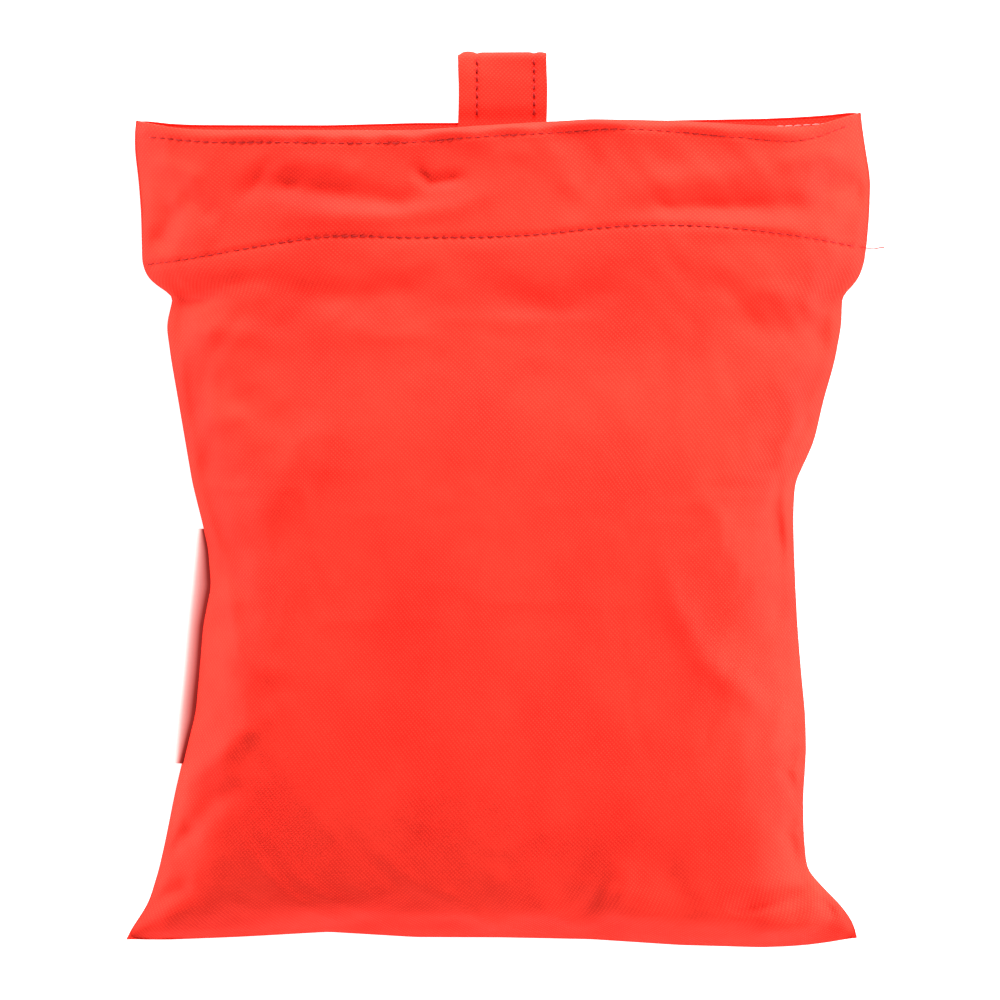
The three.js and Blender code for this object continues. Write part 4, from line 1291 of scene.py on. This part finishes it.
def fade_at_sides(obj, low_x, high_x):
    """Holds a blended sheet to its first body at the side seams, and frees it towards the middle."""
    values = np.zeros(len(obj.data.vertices))
    obj.data.attributes["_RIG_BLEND"].data.foreach_get("value", values)
    places = points_of(obj)
    left = np.interp(places[:, 1], edge_ys, edge_left)
    right = np.interp(places[:, 1], edge_ys, edge_right)
    side = np.minimum(places[:, 0] - left, right - places[:, 0])
    values *= smooth(low_x, high_x, side)
    obj.data.attributes["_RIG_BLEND"].data.foreach_set("value", values.astype(np.float32))


edge_ys = np.linspace(-150, 131, 200)
edge_left, edge_right = front_cad.edge(1, edge_ys, 0), front_cad.edge(1, edge_ys, 1)
bend_from = (0, (HINGE_Y - BEND) * MM, 0)
bend_to = (0, (HINGE_Y + BEND) * MM, 0)
for piece in (pouch_front, rim_row, hem_row, thread_tail):
    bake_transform(piece, "pouch", "mouth", start=bend_from, end=bend_to)
    fade_at_sides(piece, 0.0, HELD)

# %% Bend the loop at the rim
for piece in (loop_strap, loop_rows["left"], loop_rows["right"]):
    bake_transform(piece, "pouch", "loop", start=(0, (RIM_Y - 1.2) * MM, 0), end=(0, (RIM_Y + 1.6) * MM, 0))

# %% Bend the label at its seam
label_side = np.array([label_axis[1], -label_axis[0], 0])  # square to the hinge line, towards the pouch
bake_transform(care_label, "pouch", "label", start=tuple((label_pivot + 1.4 * label_side) * MM),
         end=tuple((label_pivot - 0.4 * label_side) * MM))

# %% Everything else rides whole
RIDES = {
    "pouch": [
        pouch_back, allowance_left, allowance_right, allowance_bottom,
        back_rim_row, back_hem_row, anchor_row, *seam_rows.values(),
    ],
    "blanket": [glass_blanket, blanket_row],
    "tab_left": list(tabs["left"]),
    "tab_right": list(tabs["right"]),
}
for body, pieces in RIDES.items():
    for piece in pieces:
        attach(piece, body)

REPLACED = [
    (pouch_front, ["front_panel", "mouth_band", "front_hem"], "pouch_cloth"),
    (pouch_back, ["back_panel", "back_hem"], "pouch_cloth"),
    (allowance_left, ["side_seam_left"], "pouch_inside"),
    (allowance_right, ["side_seam_right"], "pouch_inside"),
    (allowance_bottom, ["bottom_seam"], "pouch_inside"),
    (seam_rows["left"], ["side_stitching_left"], "red_thread"),
    (seam_rows["right"], ["side_stitching_right"], "red_thread"),
    (seam_rows["bottom"], ["bottom_stitching"], "red_thread"),
    (rim_row, ["front_rim_stitching"], "red_thread"),
    (hem_row, ["front_hem_stitching"], "red_thread"),
    (back_rim_row, ["back_rim_stitching"], "pale_thread"),
    (back_hem_row, ["back_hem_stitching"], "pale_thread"),
    (loop_strap, ["hang_loop_root", "hang_loop"], "pouch_cloth"),
    (loop_rows["left"], ["loop_stitching_left"], "red_thread"),
    (loop_rows["right"], ["loop_stitching_right"], "red_thread"),
    (anchor_row, ["loop_anchor_stitching"], "pale_thread"),
    (care_label, ["label"], "label_cloth"),
    (glass_blanket, ["fire_blanket"], "glass_cloth"),
    (blanket_row, ["blanket_hem_stitching"], "white_thread"),
    (tabs["left"][0], ["pull_tab_left"], "tab_webbing"),
    (tabs["right"][0], ["pull_tab_right"], "tab_webbing"),
    (tabs["left"][1], ["pull_tab_stitching_left"], "white_thread"),
    (tabs["right"][1], ["pull_tab_stitching_right"], "white_thread"),
]
for piece, nodes, slot in REPLACED:
    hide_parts(*nodes)

# %% [markdown]
# ## Floor, light and camera
#
# A pale floor that glows a little, like the frosted glass of a product table, keeps the shadows faint.

# %% Floor
FLOOR_HALF = 3000
FLOOR_DROP = 0.05  # just below the pouch, so that the two never share a plane
floor_corners = [(-1, -1, 0), (1, -1, 0), (1, 1, 0), (-1, 1, 0)]
floor_points = np.array(floor_corners, float) * FLOOR_HALF - (0, 0, FLOOR_DROP)
floor = new_object("floor", floor_points, [(0, 1, 2, 3)])
floor_finish, floor_tree, floor_shader = finish_named("frosted_table")
feed(floor_tree, floor_shader, {
    "Base Color": (0.62, 0.62, 0.62, 1),
    "Roughness": 0.9,
    "Specular IOR Level": 0.1,
    "Emission Color": (1, 1, 1, 1),
    "Emission Strength": 0.85,
})
paint(floor, floor_finish)
print("floor, m:", 2 * FLOOR_HALF * MM)

# %% [markdown]
# ## Lights
#
# Folds in cloth of one colour show only by their shading, and light from straight above would wash them
# out. So long low soft lights stand at both sides and behind, and rake across the cloth. The left one is
# the strongest of the side lights. A weak white world fills the rest.


# %% Lights
def soft_light(name, place, size, power):
    """A rectangular soft light that looks at the pouch."""
    lamp = bpy.data.lights.new(name, "AREA")
    lamp.shape = "RECTANGLE"
    lamp.size, lamp.size_y = size
    lamp.energy = power
    obj = bpy.data.objects.new(name, lamp)
    bpy.context.scene.collection.objects.link(obj)
    obj.location = place
    obj.rotation_euler = (-Vector(place)).to_track_quat("-Z", "Y").to_euler()


# Name, place in metres, width and height in metres, power in watts.
soft_light("left_softbox", (-0.95, -0.03, 0.12), (0.8, 0.14), 11.2)
soft_light("right_softbox", (0.95, 0.0, 0.12), (0.8, 0.14), 2.6)
soft_light("near_right_softbox", (0.5, -0.04, 0.2), (0.5, 0.14), 3.9)
soft_light("near_back_softbox", (0.0, 0.8, 0.32), (0.5, 0.14), 17.0)
soft_light("front_fill", (0.0, -0.9, 0.2), (0.8, 0.2), 3.8)

world = bpy.data.worlds.new("studio")
world.use_nodes = True
world.node_tree.nodes["Background"].inputs["Color"].default_value = (1, 1, 1, 1)
world.node_tree.nodes["Background"].inputs["Strength"].default_value = 0.22
bpy.context.scene.world = world
bpy.context.scene.view_settings.view_transform = "Standard"
print("lights:", len(bpy.data.lights))

# %% [markdown]
# ## Camera
#
# It hangs high above the pouch and looks straight down with a long lens, so the outline is hardly bent by
# perspective. The lens follows from how much must be in the picture.

# %% Camera
CAMERA_HEIGHT = 1.6
OUTLINE_HEIGHT = 0.006  # the pouch's outline is this high above the floor
SEEN = 0.350  # metres across the picture at that height
SENSOR = 36
camera = bpy.data.cameras.new("camera")
camera.sensor_width = SENSOR
camera.lens = SENSOR * (CAMERA_HEIGHT - OUTLINE_HEIGHT) / SEEN
print("lens, mm:", round(camera.lens, 1))
camera_object = bpy.data.objects.new("camera", camera)
bpy.context.scene.collection.objects.link(camera_object)
camera_object.location = (0.0007, 0, CAMERA_HEIGHT)
camera_object.rotation_euler = (0, 0, 0)
bpy.context.scene.camera = camera_object
